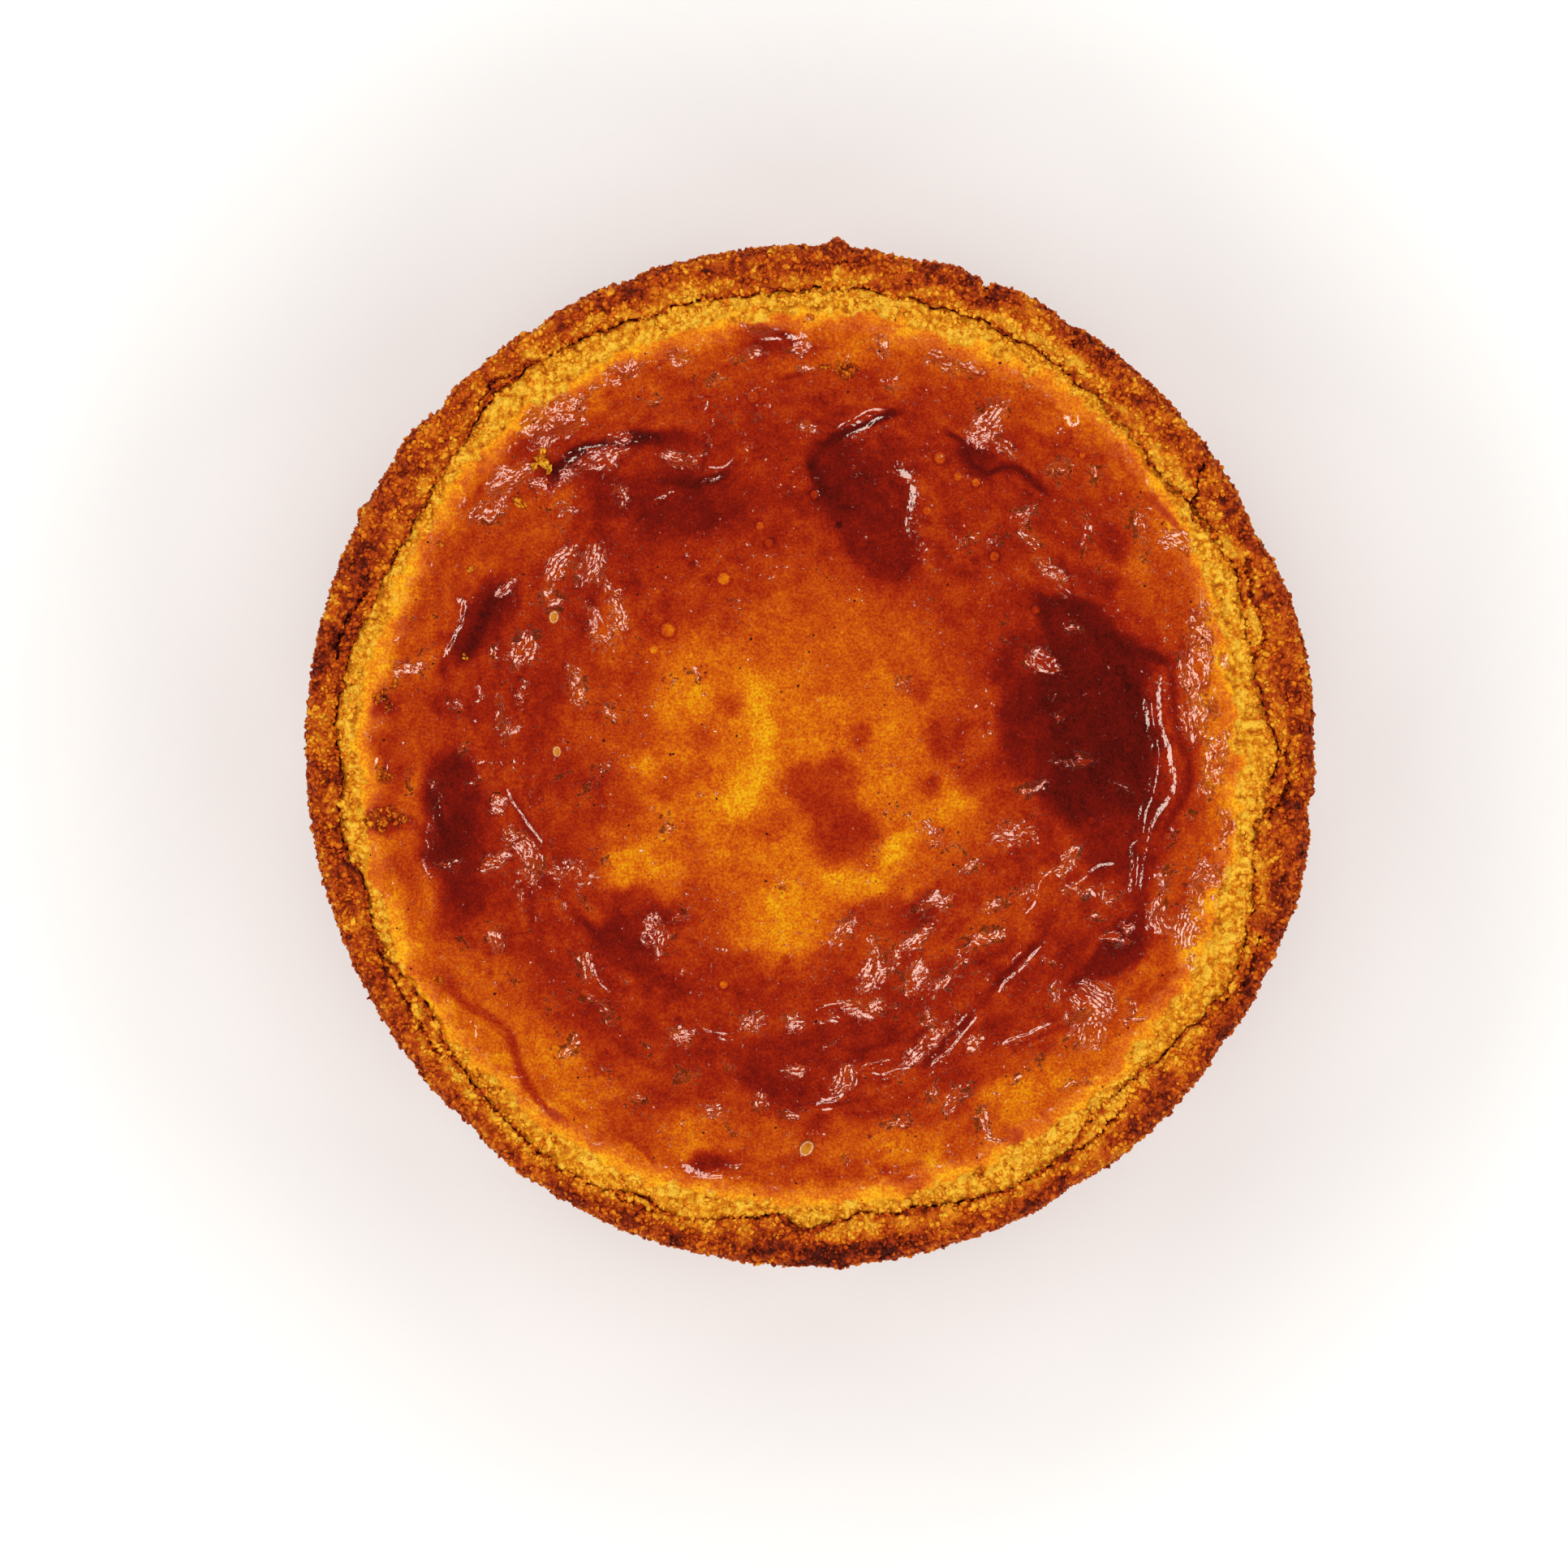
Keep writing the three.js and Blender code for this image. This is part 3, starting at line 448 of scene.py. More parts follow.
        (-19.4, -8.6, 2.6, 1.6, 0, 0.52, 0.7), (3, 11, 4, 1.4, 20, 0.42, 0.7),
        (3.4, -7.6, 3.6, 3.6, 0, 0.66, 0.5), (-0.2, -2.4, 2.8, 2.2, 0, 0.58, 0.5),
        (1.2, -5.2, 3, 2.6, 0, 0.65, 0.5), (-3.8, -7.2, 3.2, 1.9, 4, 0.48, 0.6),
        (-8.2, 4.8, 1.7, 1.5, 0, 0.50, 0.6), (-10.3, 1.3, 1.2, 1.4, 0, 0.46, 0.6),
        (-12.6, -2.3, 2.6, 1.4, 0, 0.48, 0.7), (-11.4, -9.2, 2, 1.4, 0, 0.42, 0.7),
        (-8, -12.5, 4, 1.8, -10, 0.44, 0.7), (1.8, 7.2, 2, 1.5, 0, 0.48, 0.6),
        (8.4, 8.6, 1.8, 1.2, 0, 0.54, 0.6), (5.2, 2, 1.8, 1.5, 0, 0.6, 0.6),
        (9.9, 5.8, 1.7, 1.5, 0, 0.60, 0.6), (13.4, 1.6, 2.6, 2.1, -20, 0.68, 0.6),
        (11.3, -2.6, 1.9, 1.6, 0, 0.66, 0.6), (17, -1.5, 2.6, 2.4, 0, 0.64, 0.7),
        (-11.8, 15.6, 2.6, 1.6, 0, 0.64, 0.7), (-7.5, 14, 2, 1.4, 0, 0.56, 0.7),
        (-23, 3, 7, 3, 92, 0.58, 0.7), (-20.6, -5.2, 4.6, 2.2, 20, 0.62, 0.7),
        (-26, 7.5, 1.5, 4.8, 0, 0.72, 0.6), (-15.2, -4, 1.6, 1, 0, 0.5, 0.7), (17, 10, 4, 4, 0, 0.66, 0.8),
        (14, 16, 6, 2.4, 10, 0.62, 0.8), (-16, 25.6, 10, 4.4, -3, 0.8, 0.4),
        (-12, 24.4, 6, 2.4, 0, 0.82, 0.6), (-20.5, 24.4, 2.4, 3.4, 10, 0.84, 0.6),
        (-19.5, 20.4, 2.2, 2.6, 40, 0.74, 0.7), (-14.5, 30, 4.4, 1.6, -3, 0.76, 0.6),
        (-17, 28.2, 4, 1.2, 6, 0.72, 0.7), (5, 25, 8.4, 5.4, 108, 0.79, 0.35),
        (3.4, 25.6, 5.4, 3.2, 100, 0.86, 0.5), (7.4, 20.4, 4.6, 3, 118, 0.82, 0.6),
        (10, 31.2, 4, 1.2, -8, 0.68, 0.7), (15.4, 29.6, 2, 1.8, -20, 0.84, 0.6),
        (13.6, 25.4, 4, 3.6, 0, 0.66, 0.7), (17.4, 19.4, 3.4, 1.8, 0, 0.72, 0.7),
        (19.6, 31, 1.6, 1.2, 0, 0.72, 0.7), (22.4, 21.6, 1.6, 3.6, 30, 0.68, 0.7),
        (20.4, 4, 3, 4.4, 0, 0.84, 0.5), (28, 2.2, 12, 7.4, 100, 0.90, 0.3),
        (27, 12, 3.4, 3, -20, 0.88, 0.5), (23.8, 13, 2.6, 1.8, 110, 0.86, 0.5),
        (29, -9.6, 3.6, 4, 20, 0.8, 0.6), (32.4, -12, 5.4, 1.8, 98, 0.8, 0.6),
        (21, 0.6, 4.6, 2.6, 90, 0.82, 0.6), (20.4, 8.4, 2.6, 2.6, 0, 0.78, 0.7),
        (31.4, 12.4, 1.8, 1.2, 0, 0.66, 0.7), (29.6, 21, 1.8, 1.6, 0, 0.72, 0.7),
        (27.8, 16.8, 2, 1.8, 0, 0.78, 0.7), (30.4, -18.6, 3.6, 2.4, 50, 0.85, 0.5),
        (27.6, -21.4, 2.6, 1.4, 60, 0.84, 0.6), (26.4, -17.6, 3, 1.6, 50, 0.72, 0.7),
        (22, -15, 6, 2.6, 40, 0.6, 0.8), (-3, -31, 5, 3.2, 0, 0.80, 0.5), (0, -29.6, 5, 2.4, 0, 0.75, 0.6),
        (6.6, -28, 5.4, 1.5, -4, 0.76, 0.6), (0.5, -36.8, 3, 1.5, 0, 0.7, 0.7),
        (7, -33.6, 4, 1.6, 0, 0.68, 0.7), (-8.6, -29.6, 3, 1, -10, 0.74, 0.7),
        (-18, -18, 3.6, 3, -24, 0.82, 0.5), (-14.8, -16.6, 3, 2, 0, 0.76, 0.6),
        (-8, -19.6, 4, 2.4, 0, 0.66, 0.8), (-17.6, -30.6, 4, 1, -8, 0.68, 0.7),
        (-35.6, -7.2, 6.2, 3.6, 78, 0.82, 0.4), (-35.6, -7.4, 4.6, 2, 75, 0.88, 0.6),
        (-34, -14, 4.4, 3, 85, 0.79, 0.5), (-35.6, -1.6, 1.8, 1.6, 0, 0.84, 0.6),
        (-30.6, -9.4, 3, 2, 60, 0.72, 0.7), (-33.4, -18.4, 3, 1.2, -20, 0.66, 0.7),
        (-32.8, 12.4, 5.8, 2, 61, 0.83, 0.5), (-29.6, 8, 2.4, 2, 60, 0.7, 0.7),
        (-36, 4.9, 1.8, 1.3, 0, 0.76, 0.6), (-31.6, -1.6, 2, 1.8, 0, 0.68, 0.7),
        (17.4, 32.2, 3.2, 1.8, -10, 0.74, 0.7), (-26.4, 29.4, 5, 3.2, 40, 0.68, 0.7),
        (-19.6, 12, 2.4, 5.4, 0, 0.5, 0.8), (36.4, -0.5, 1.0, 5, 0, 0.76, 0.7),
        (-16.6, -7.6, 1.8, 1.3, 0, 0.5, 0.7), (11.6, -8.6, 1.8, 1.4, 0, 0.5, 0.8),
        (3, -2.4, 2.6, 2, 0, 0.6, 0.5), (-37, -3.4, 3.4, 2, 80, 0.84, 0.5),
        (37.4, 1, 4.6, 1.4, 90, 0.62, 0.7), (-26, 24, 4, 2.4, 40, 0.6, 0.7),
        (-6.4, -17, 1.6, 2.6, 0, 0.42, 0.8), (10.6, -15.6, 4, 2.2, 12, 0.78, 0.6),
        (6, -15.8, 3, 1.4, 20, 0.66, 0.7), (19, -10.6, 4, 2, 20, 0.66, 0.7),
        (-3, 40.5, 3.8, 1.2, 0, 0.78, 0.6), (-10, -40.9, 3.2, 1.5, 4, 0.78, 0.6),
        (-1, -40.6, 2, 1.4, 0, 0.72, 0.6), (19.3, -37.3, 1.4, 1, 30, 0.62, 0.7),
        (-19.5, -36.3, 1.6, 1.2, 0, 0.56, 0.7), (-42.2, 5, 1.8, 1.3, 10, 0.74, 0.8),
        (-41.9, -2.4, 1.3, 1.2, 0, 0.72, 0.8), (-41.8, -7, 2.8, 1.5, 0, 0.68, 0.8),
        (-40.2, 20, 0.8, 0.6, 0, 0.5, 0.7),
    ],
    # how many of the scorches, at the end of their list, lie in the pale edge
    "edgeSpots": 9,
    # creases painted after them, dark lines that are partly the skin's own darker colour there and partly
    # painted shade in each crease: how dark, half width, then the points of each
    "creases": [
        (0.97, 0.7, [(-26, 26.6), (-24.2, 28.8), (-23, 29.8), (-21.2, 30.1), (-19.1, 30.9), (-17, 31.1),
                     (-14, 31.2)]),
        (0.92, 0.5, [(-14.6, 27), (-13.1, 26.7), (-11, 26.8), (-9.2, 27.2), (-7.6, 28.4)]),
        (0.86, 0.22, [(-13.4, 22.3), (-11.6, 22.2), (-8.3, 22.3), (-7.2, 23)]),
        (0.8, 0.5, [(-22, 26), (-19, 26.2), (-16, 26.1), (-13, 25.2)]),
        (0.96, 0.42, [(0.7, 29.7), (1.9, 30.9), (4, 31.9), (6.1, 32.8), (7.9, 33.5), (9.1, 34.2)]),
        (0.96, 0.5, [(0.6, 30), (0.1, 28.4), (1.2, 26.2), (2.5, 24.9)]),
        (0.92, 0.34, [(13, 32.1), (14.8, 30.6), (15.4, 28.8), (17.2, 27.7), (19, 28.2), (20.8, 27.9),
                      (22.6, 26.1), (23.5, 24.6)]),
        (0.92, 0.34, [(21.4, 16.2), (22.9, 15.3), (23.2, 13.5), (23.8, 11.4), (25, 9.9)]),
        (0.93, 0.45, [(24.6, 15.4), (25.5, 14), (27, 12.5), (29.4, 11), (31.5, 10.1), (34.2, 9.4),
                      (35.7, 8.6)]),
        (0.82, 0.36, [(35.6, 8.8), (35.8, 5), (36.4, 2), (37.4, -1), (37.2, -3.6), (35.8, -6.2),
                      (34.4, -9)]),
        (0.95, 0.6, [(-29.4, 16.8), (-30.8, 15.6), (-32, 14.2), (-32.9, 12.1), (-33.8, 10.6),
                     (-34.7, 8.8)]),
        (0.94, 0.42, [(-37.6, -3.6), (-36.9, -6.4), (-36, -9.6), (-34.6, -10.6)]),
        (0.8, 0.4, [(-29.6, -4.6), (-28.4, -7), (-26.8, -9.6)]),
        (0.88, 0.4, [(-23.5, -15.9), (-22, -17.4), (-20.8, -18.6), (-20.5, -19.8)]),
        (0.8, 1.0, [(-20.5, -20), (-17.2, -21.2), (-13.6, -23.1), (-11.6, -24.4)]),
        (0.7, 0.6, [(-32, -19), (-29, -19.6), (-25.4, -19.3)]),
        (0.64, 0.42, [(-37, -20.6), (-35.5, -22.8), (-34.3, -24.9), (-32.5, -25.8), (-30.7, -27),
                      (-29.5, -28.8), (-28.9, -31.2), (-27.4, -33.6), (-25.6, -35.7), (-24.1, -36.6)]),
        (0.72, 0.36, [(-21.4, -22.5), (-19.6, -24), (-18.4, -25.8), (-15.4, -27.6), (-13, -28.4)]),
        (0.62, 0.26, [(-19.6, -37.2), (-17.8, -38.1), (-16, -39.9), (-15.1, -41.4)]),
        (0.54, 0.3, [(-7.8, -41.4), (-3.7, -42.4), (-0.9, -42.2), (1.6, -41.3)]),
        (0.88, 0.34, [(22.7, -18.5), (20.4, -20.6), (19, -22.1), (17.4, -24)]),
        (0.86, 0.32, [(16.4, -25.2), (15, -27.2), (13.6, -28.4), (12.4, -29.6), (10.8, -31.2)]),
        (0.84, 0.5, [(33.2, -18.6), (31.4, -20.9), (27.8, -22.3), (25.7, -23.4)]),
        (0.72, 0.3, [(20, -29.2), (22.4, -28), (24.6, -27.4)]),
        (0.78, 0.3, [(1.2, -35), (3.6, -34.4), (5.4, -33.9)]),
        (0.72, 0.3, [(3, -35.4), (6, -35.8), (9, -35.2)]),
        (0.76, 0.3, [(-3.7, 36.9), (-2, 37), (-0.3, 37.4)]),
        (0.6, 0.24, [(23, 26.4), (25.4, 25.6), (27.2, 26.1)]),
        (0.62, 0.3, [(32.6, 25.6), (33.8, 25), (35, 23.4), (36.8, 21.6)]),
        (0.74, 0.5, [(-6, 24), (-4.6, 24.6), (-2.6, 24.6)]),
        (0.8, 0.6, [(24.6, -22.6), (24.8, -20.4), (26, -18)]),
        (0.52, 0.5, [(12, -20.4), (14.6, -18.4), (18, -16.6), (20.6, -15.2)]),
        (0.78, 0.5, [(13.4, -24.6), (15, -22), (17.4, -20), (20, -18.6)]),
        (0.74, 0.6, [(4, -23.6), (7, -23.2), (9, -24.8), (12, -24.6)]),
        (0.66, 0.4, [(27.8, -17.2), (28.2, -18.4), (27.6, -19.8), (26.4, -21.2)]),
    ],
    # bubbles in the skin: x, y, width, how much paler they are
    "bubbles": [
        (-14.2, 12.1, 1.5, 0.15), (-15.6, 10.2, 0.9, 0.2), (-8.7, 17.2, 1.3, 0.25), (-11.7, 18.5, 0.8, -0.15),
        (-10.5, 17.1, 0.8, -0.15), (-5.1, 22.4, 0.9, 0.15), (-4.2, 20.7, 0.9, 0.15), (0.3, 25.5, 0.9, 0.2),
        (1.6, 35.3, 1.3, 0.0), (2.7, 22.5, 0.7, -0.2), (12.7, 29.1, 1.2, 0.18), (14.5, 27.3, 0.9, 0.2),
        (16.3, 26.7, 0.9, 0.25), (11.4, 23.9, 0.9, 0.16), (18.1, 19.4, 1.0, 0.25), (16.2, 19.1, 0.8, -0.1),
        (22.2, 14.1, 0.9, 0.15), (24.7, 31.2, 1.7, -0.1), (26.8, 29.4, 0.7, 0.2), (-27.3, -4.4, 1.3, -0.1),
        (27.7, -6.7, 0.8, 0.05), (30.6, 8.1, 0.8, 0.0), (37.7, -21, 1.6, 0.1), (-5.8, 35.2, 1.2, 0.1),
        (0.9, -33.1, 0.8, -0.1), (-8.7, -23, 0.9, 0.25), (-2.6, -20.5, 0.8, -0.1), (-31.7, -21.8, 0.7, -0.2),
        (16.9, -20.9, 0.6, -0.1), (-25.9, -34.9, 0.6, 0.2), (-28.6, 8.2, 0.6, -0.1), (41, 5.4, 0.8, 0.1),
    ],
}


def ellipseAxes(x, y, middleX, middleY, long, wide, turn):
    # place along and across an ellipse, 1 where each axis meets its edge
    dx, dy = x - middleX, y - middleY
    cosine, sine = math.cos(math.radians(turn)), math.sin(math.radians(turn))
    return (dx * cosine + dy * sine) / long, (dy * cosine - dx * sine) / wide


def poolDepths(x, y):
    # each pool's outer side is steeper than its inner side
    deepest = np.zeros_like(x)
    for middleX, middleY, long, wide, turn, depth in custardLook["pools"]:
        along, across = ellipseAxes(x, y, middleX, middleY, long, wide, turn)
        reach = np.hypot(along, across) * (1 + 0.08 * np.sin(3 * np.arctan2(across, along) + middleX))
        dx, dy = x - middleX, y - middleY
        outward = (dx * middleX + dy * middleY) / (np.hypot(dx, dy) * math.hypot(middleX, middleY) + 0.001)
        slope = mix(0.85, 0.5, smoothStep(-0.6, 0.8, outward))
        deepest = np.maximum(deepest, depth * (1 - smoothStep(1 - slope, 1.04, reach)))
    return deepest


def smoothPath(points, steps=6):
    # the points of a line joined by a smooth curve
    points = np.array(points, float)
    ends = np.vstack([2 * points[0] - points[1], points, 2 * points[-1] - points[-2]])
    path = []
    for k in range(1, len(ends) - 2):
        p0, p1, p2, p3 = ends[k - 1:k + 3]
        for s in np.arange(steps) / steps:
            path.append(0.5 * (2 * p1 + (p2 - p0) * s + (2 * p0 - 5 * p1 + 4 * p2 - p3) * s ** 2
                               + (3 * p1 - p0 - 3 * p2 + p3) * s ** 3))
    path.append(points[-1])
    return np.array(path)


def nearLine(x, y, points, reach):
    # which places lie near a line, how far to its left they are, and how far along it in mm
    path = smoothPath(points)
    low, high = path.min(0) - reach, path.max(0) + reach
    near = np.flatnonzero((x > low[0]) & (x < high[0]) & (y > low[1]) & (y < high[1]))
    px, py = x[near], y[near]
    best, side, along, start = np.full(len(near), 1e9), np.ones(len(near)), np.zeros(len(near)), 0.0
    for (ax, ay), (bx, by) in zip(path[:-1], path[1:]):
        length = math.hypot(bx - ax, by - ay)
        share = np.clip(((px - ax) * (bx - ax) + (py - ay) * (by - ay)) / length ** 2, 0, 1)
        distance = np.hypot(px - mix(ax, bx, share), py - mix(ay, by, share))
        closer = distance < best
        best = np.where(closer, distance, best)
        side = np.where(closer, np.sign((bx - ax) * (py - ay) - (by - ay) * (px - ax)), side)
        along = np.where(closer, start + share * length, along)
        start += length
    return near, best * side, along, start


def taperAt(along, length, early=0.0):
    # 0 at both ends of a line and 1 in between
    end = min(0.3 * length, 1.6)
    return smoothStep(-early, end, along) * smoothStep(length + early, length - end, along)


def foldHeights(x, y):
    # thin ridges, steep on their left, tapered at their ends and partly broken into beads
    total = np.zeros_like(x)
    wx, wy = x + 0.14 * softNoise(x, y, 1.3, 41), y + 0.14 * softNoise(x, y, 1.3, 42)
    for number, (height, halfWidth, beading, ripple, points) in enumerate(custardLook["folds"]):
        near, offset, along, length = nearLine(wx, wy, points, halfWidth * 4.5)
        flank = halfWidth * np.where(offset > 0, 1.0, 2.3)
        beads = 0.5 + 0.5 * softNoise(along, along * 0, 0.42, 140 + number)
        strength = (0.2 + 0.8 * taperAt(along, length)) * (1 - beading * beads)
        strength = strength * (1.0 + 0.35 * beading) * (1 - 0.8 * smoothStep(0.35, 0.8, ripple))
        total[near] += height * strength * np.exp(-(offset / flank) ** 2)
    return total


def rippleCount(dx, dy, lean):
    # ripples passed on the way up the lean
    lean = math.radians(lean)
    return (dx * math.cos(lean) + dy * math.sin(lean)) / custardLook["rippleLength"]


def rippleField(x, y):
    # how rippled the skin is, and how many ripples in
    wx, wy = x + 0.5 * softNoise(x, y, 1.6, 301), y + 0.5 * softNoise(x, y, 1.6, 302)
    wx, wy = wx + 0.3 * softNoise(x, y, 0.7, 303), wy + 0.3 * softNoise(x, y, 0.7, 304)
    field, count = np.zeros_like(x), x / custardLook["rippleLength"]
    for middleX, middleY, long, wide, turn, strength in custardLook["ripples"]:
        reach = np.hypot(*ellipseAxes(wx, wy, middleX, middleY, long, wide, turn))
        here = strength * (1 - smoothStep(0.55, 1.65, reach))
        best = here > field
        field[best] = here[best]
        lean = turn if wide > long else turn + 90
        count[best] = rippleCount(wx[best] - middleX, wy[best] - middleY, lean)
    for _, halfWidth, _, ripple, points in custardLook["folds"]:
        near, distance, along, length = nearLine(wx, wy, points, halfWidth * 2)
        here = ripple * (0.3 + 0.7 * taperAt(along, length)) * np.exp(-(distance / halfWidth / 1.3) ** 4)
        best = here > field[near]
        near, here = near[best], here[best]
        field[near] = here
        (ax, ay), (bx, by) = points[0], points[-1]
        lean = math.degrees(math.atan2(by - ay, bx - ax)) + 90
        count[near] = rippleCount(wx[near] - ax, wy[near] - ay, lean)
    return field, count + 0.4 * softNoise(x, y, 1.5, 305)


def scorchField(x, y, fromBand):
    # how dark the skin is, 0 for pale yellow and 1 for nearly black red
    radius = np.hypot(x, y)
    wx = x + 0.9 * softNoise(x, y, 4, 201) + 0.6 * softNoise(x, y, 1.5, 202)
    wy = y + 0.9 * softNoise(x, y, 4, 203) + 0.6 * softNoise(x, y, 1.5, 204)
    field = np.interp(radius, [0, 10, 17, 24, 33, 40], [0.31, 0.38, 0.56, 0.68, 0.69, 0.56])
    edgeScorches = len(custardLook["scorches"]) - custardLook["edgeSpots"]
    for number, (*ellipse, target, softness) in enumerate(custardLook["scorches"]):
        if number == edgeScorches:
            # paler towards the crumbly edge, apart from the last spots
            ragged = fromBand + 0.8 * softNoise(x, y, 2.6, 230) + 0.6 * layeredNoise(x, y, 1.1, 232)
            field = mix(field, 0.36, smoothStep(-2.8, -0.6, ragged))
            field = mix(field, 0.17, smoothStep(-1.1, 0.3, ragged))
        reach = np.hypot(*ellipseAxes(wx, wy, *ellipse))
        field = mix(field, target, 1 - smoothStep(1 - softness, 1 + softness * 0.6, reach))
    # veins and small islands, strongest in the red ring
    veins = (1 - np.abs(layeredNoise(wx, wy, 3.4, 210, 4))) ** 6
    inRing = smoothStep(12, 22, radius) * smoothStep(-0.4, -2.4, fromBand)
    # as many streaks to a turn as the noise has corners before it repeats
    streakStep, streaksATurn = 0.5, 128
    turn = np.degrees(np.arctan2(y, x)) % 360 / 360 * streaksATurn * streakStep
    streaks = softNoise(radius + 0.7 * softNoise(x, y, 3.2, 251), turn, streakStep, 250)
    mottling = inRing * (0.08 * veins - 0.04 + 0.07 * streaks) + 0.07 * layeredNoise(x, y, 1.7, 220, 3)
    field = field + mottling * (1 - 0.6 * smoothStep(0.7, 0.85, field))
    field = field + 0.1 * (field - 0.55)
    # the creases are painted darker, partly for the shade in them
    lx, ly = x + 0.22 * softNoise(x, y, 1.2, 240), y + 0.22 * softNoise(x, y, 1.2, 241)
    for target, halfWidth, points in custardLook["creases"]:
        near, distance, along, length = nearLine(lx, ly, points, halfWidth * 2.2)
        cover = 0.3 + 0.7 * taperAt(along, length, 0.2)
        cover = cover * (1 - smoothStep(0.4, 1.7, np.abs(distance) / halfWidth))
        field[near] = mix(field[near], target, cover)
    return field


def bubbleShapes(x, y):
    # each bubble is a low ring round a slight dome, paler or darker than the skin
    height, paler = np.zeros_like(x), np.zeros_like(x)
    for middleX, middleY, width, lift in custardLook["bubbles"]:
        near = np.flatnonzero((np.abs(x - middleX) < 2 * width) & (np.abs(y - middleY) < 2 * width))
        distance = np.hypot(x[near] - middleX, y[near] - middleY) / (width / 2)
        ring, dome = np.exp(-((distance - 0.85) / 0.3) ** 2), np.exp(-(distance / 0.6) ** 2)
        height[near] += 0.05 * width * (ring + 0.5 * dome)
        paler[near] += lift * (1 - smoothStep(0.7, 1.05, distance))
        paler[near] -= 0.10 * np.exp(-((distance - 1.15) / 0.2) ** 2)
    return height, paler


def bandInner(angle):
    # radius where the crumbly band gives way to skin
    course = courseAt(custardLook["bandCourse"], angle)
    return course + 0.35 * aroundNoise(angle, 3, 21) + 0.2 * aroundNoise(angle, 1.1, 22)


def custardTop(x, y, angle, edge):
    # height of the top, and the numbers that its material reads
    radius = np.hypot(x, y)
    fromBand = radius - bandInner(angle)
    crumb = smoothStep(-0.3, 0.9, fromBand + 0.9 * layeredNoise(x, y, 1.6, 61))
    bubbleHeight, paler = bubbleShapes(x, y)
    ripple, rippleCounts = rippleField(x, y)
    scorch = np.clip(scorchField(x, y, fromBand) - paler, 0, 1)
    sparkle = mix(0.02, 0.1, smoothStep(10, 19, radius)) + 0.14 * layeredNoise(x, y, 2.6, 68)
    sparkle = sparkle - 0.12 * smoothStep(0.7, 0.85, scorch)
    ripple = np.maximum(ripple, sparkle) * (1 - crumb)
    height = curveThrough(custardLook["section"], radius)
    height = height - poolDepths(x, y) + foldHeights(x, y) + bubbleHeight
    height = height + 0.12 * softNoise(x, y, 5, 62) + 0.04 * softNoise(x, y, 2.8, 64)
    lump = np.abs(softNoise(x, y, 1.1, 63)) + 0.6 * np.abs(softNoise(x, y, 0.55, 65))
    uneven = 0.28 * smoothStep(-3.4, -0.8, fromBand + softNoise(x, y, 2.2, 66))
    height = height + np.maximum(crumb, uneven) * (0.45 * lump - 0.1)
    height = height - 0.5 * (1 - smoothStep(0, 0.8, edge - radius))
    # for the colour: painted light makes the lumps' tops paler and their hollows darker, painted shade
    # darkens the lip where the band falls into the crack, and the band is darker round 221 degrees
    lump = lump * smoothStep(0, 0.3, edge - radius) - 0.35 * np.exp(-(turnFrom(angle, 221) / 14) ** 2)
    nearCrack = smoothStep(2.6, 0.6, edge - radius)
    browned = 0.1 * np.exp(-(turnFrom(angle, 224) / 24) ** 2)
    gloss = 1 - smoothStep(-2.1, -0.3, fromBand + 0.7 * softNoise(x, y, 1.3, 69))
    gloss = np.maximum(gloss, smoothStep(0.3, 0.5, ripple) * (1 - crumb))
    values = {"scorch": scorch, "crumb": crumb, "gloss": gloss, "lump": lump, "ripple": ripple * gloss,
              "rippleCount": rippleCounts, "bake": 0.10 + browned + 0.10 * softNoise(x, y, 3, 67),
              "grainChance": crumb * mix(0.2, 0.8, nearCrack),
              "seedChance": (1 - crumb) * smoothStep(0.75, 0.3, scorch)}
    return height, values


def ringCount(radius, columns):
    # halves the columns each time the radius halves, so that the faces stay even
    count, limit = columns, 21.0
    while radius < limit and count > 20:
        count //= 2
        limit /= 2
    return count


def buildCustard():
    look = custardLook
    steps = [0.4]
    edgeMean = flanForm["radius"] - flanForm["wallThickness"]
    while steps[-1] < edgeMean - 0.3:
        steps.append(steps[-1] + look["ringStep"] * (1.9 if steps[-1] < 8 else 1.4 if steps[-1] < 15 else 1))
    counts = [ringCount(step, look["columns"]) for step in steps] + [look["columns"]]
    angle = np.concatenate([np.arange(count) * 360 / count for count in counts])
    share = np.repeat(np.array(steps + [edgeMean]) / edgeMean, counts)
    edge = jointRadius(angle, flanForm["bandTop"]) - jointGap(angle, flanForm["bandTop"]) / 2
    radius = share * mix(edgeMean, edge, share ** 4)
    x, y = radius * np.cos(np.radians(angle)), radius * np.sin(np.radians(angle))
    height, values = custardTop(x, y, angle, edge)
    centre, centreValues = custardTop(np.zeros(1), np.zeros(1), np.zeros(1), np.full(1, edgeMean))
    points = [np.array([[0, 0, centre[0]]]), np.stack([x, y, height], axis=1)]
    foot = flanForm["baseThickness"] + flanForm["closedGap"]
    bandTop, depth = flanForm["bandTop"], flanForm["crackDepth"]
    sides = [(look["columns"], bandTop - drop, 0) for drop in (0.75, 0.95, 1.15, 1.4, 2.0, 3.0, depth)]
    sides += [(300, height, inset) for height, inset in ((24, 0), (12, 0), (foot + 1.2, 0.1), (foot, 1.3))]
    for count, level, inset in sides:
        around = np.arange(count) * 360 / count
        out = jointRadius(around, level) - jointGap(around, level) / 2 - inset
        points.append(np.stack([out * np.cos(np.radians(around)), out * np.sin(np.radians(around)),
                                np.full(count, level)], axis=1))
        counts.append(count)
    points.append(np.array([[0, 0, foot]]))
    hidden = sum(count for count, level, inset in sides) + 1
    below = {"scorch": 0.5, "crumb": 1.0, "gloss": 0.0, "lump": 0.2, "ripple": 0.0, "rippleCount": 0.0,
             "bake": 0.5, "grainChance": 0.0, "seedChance": 0.0}
    values = {key: np.concatenate([centreValues[key], values[key], np.full(hidden, below[key])])
              for key in values}
    return makeMesh("custardBody", np.vstack(points), shellFaces(counts), values)


# Case

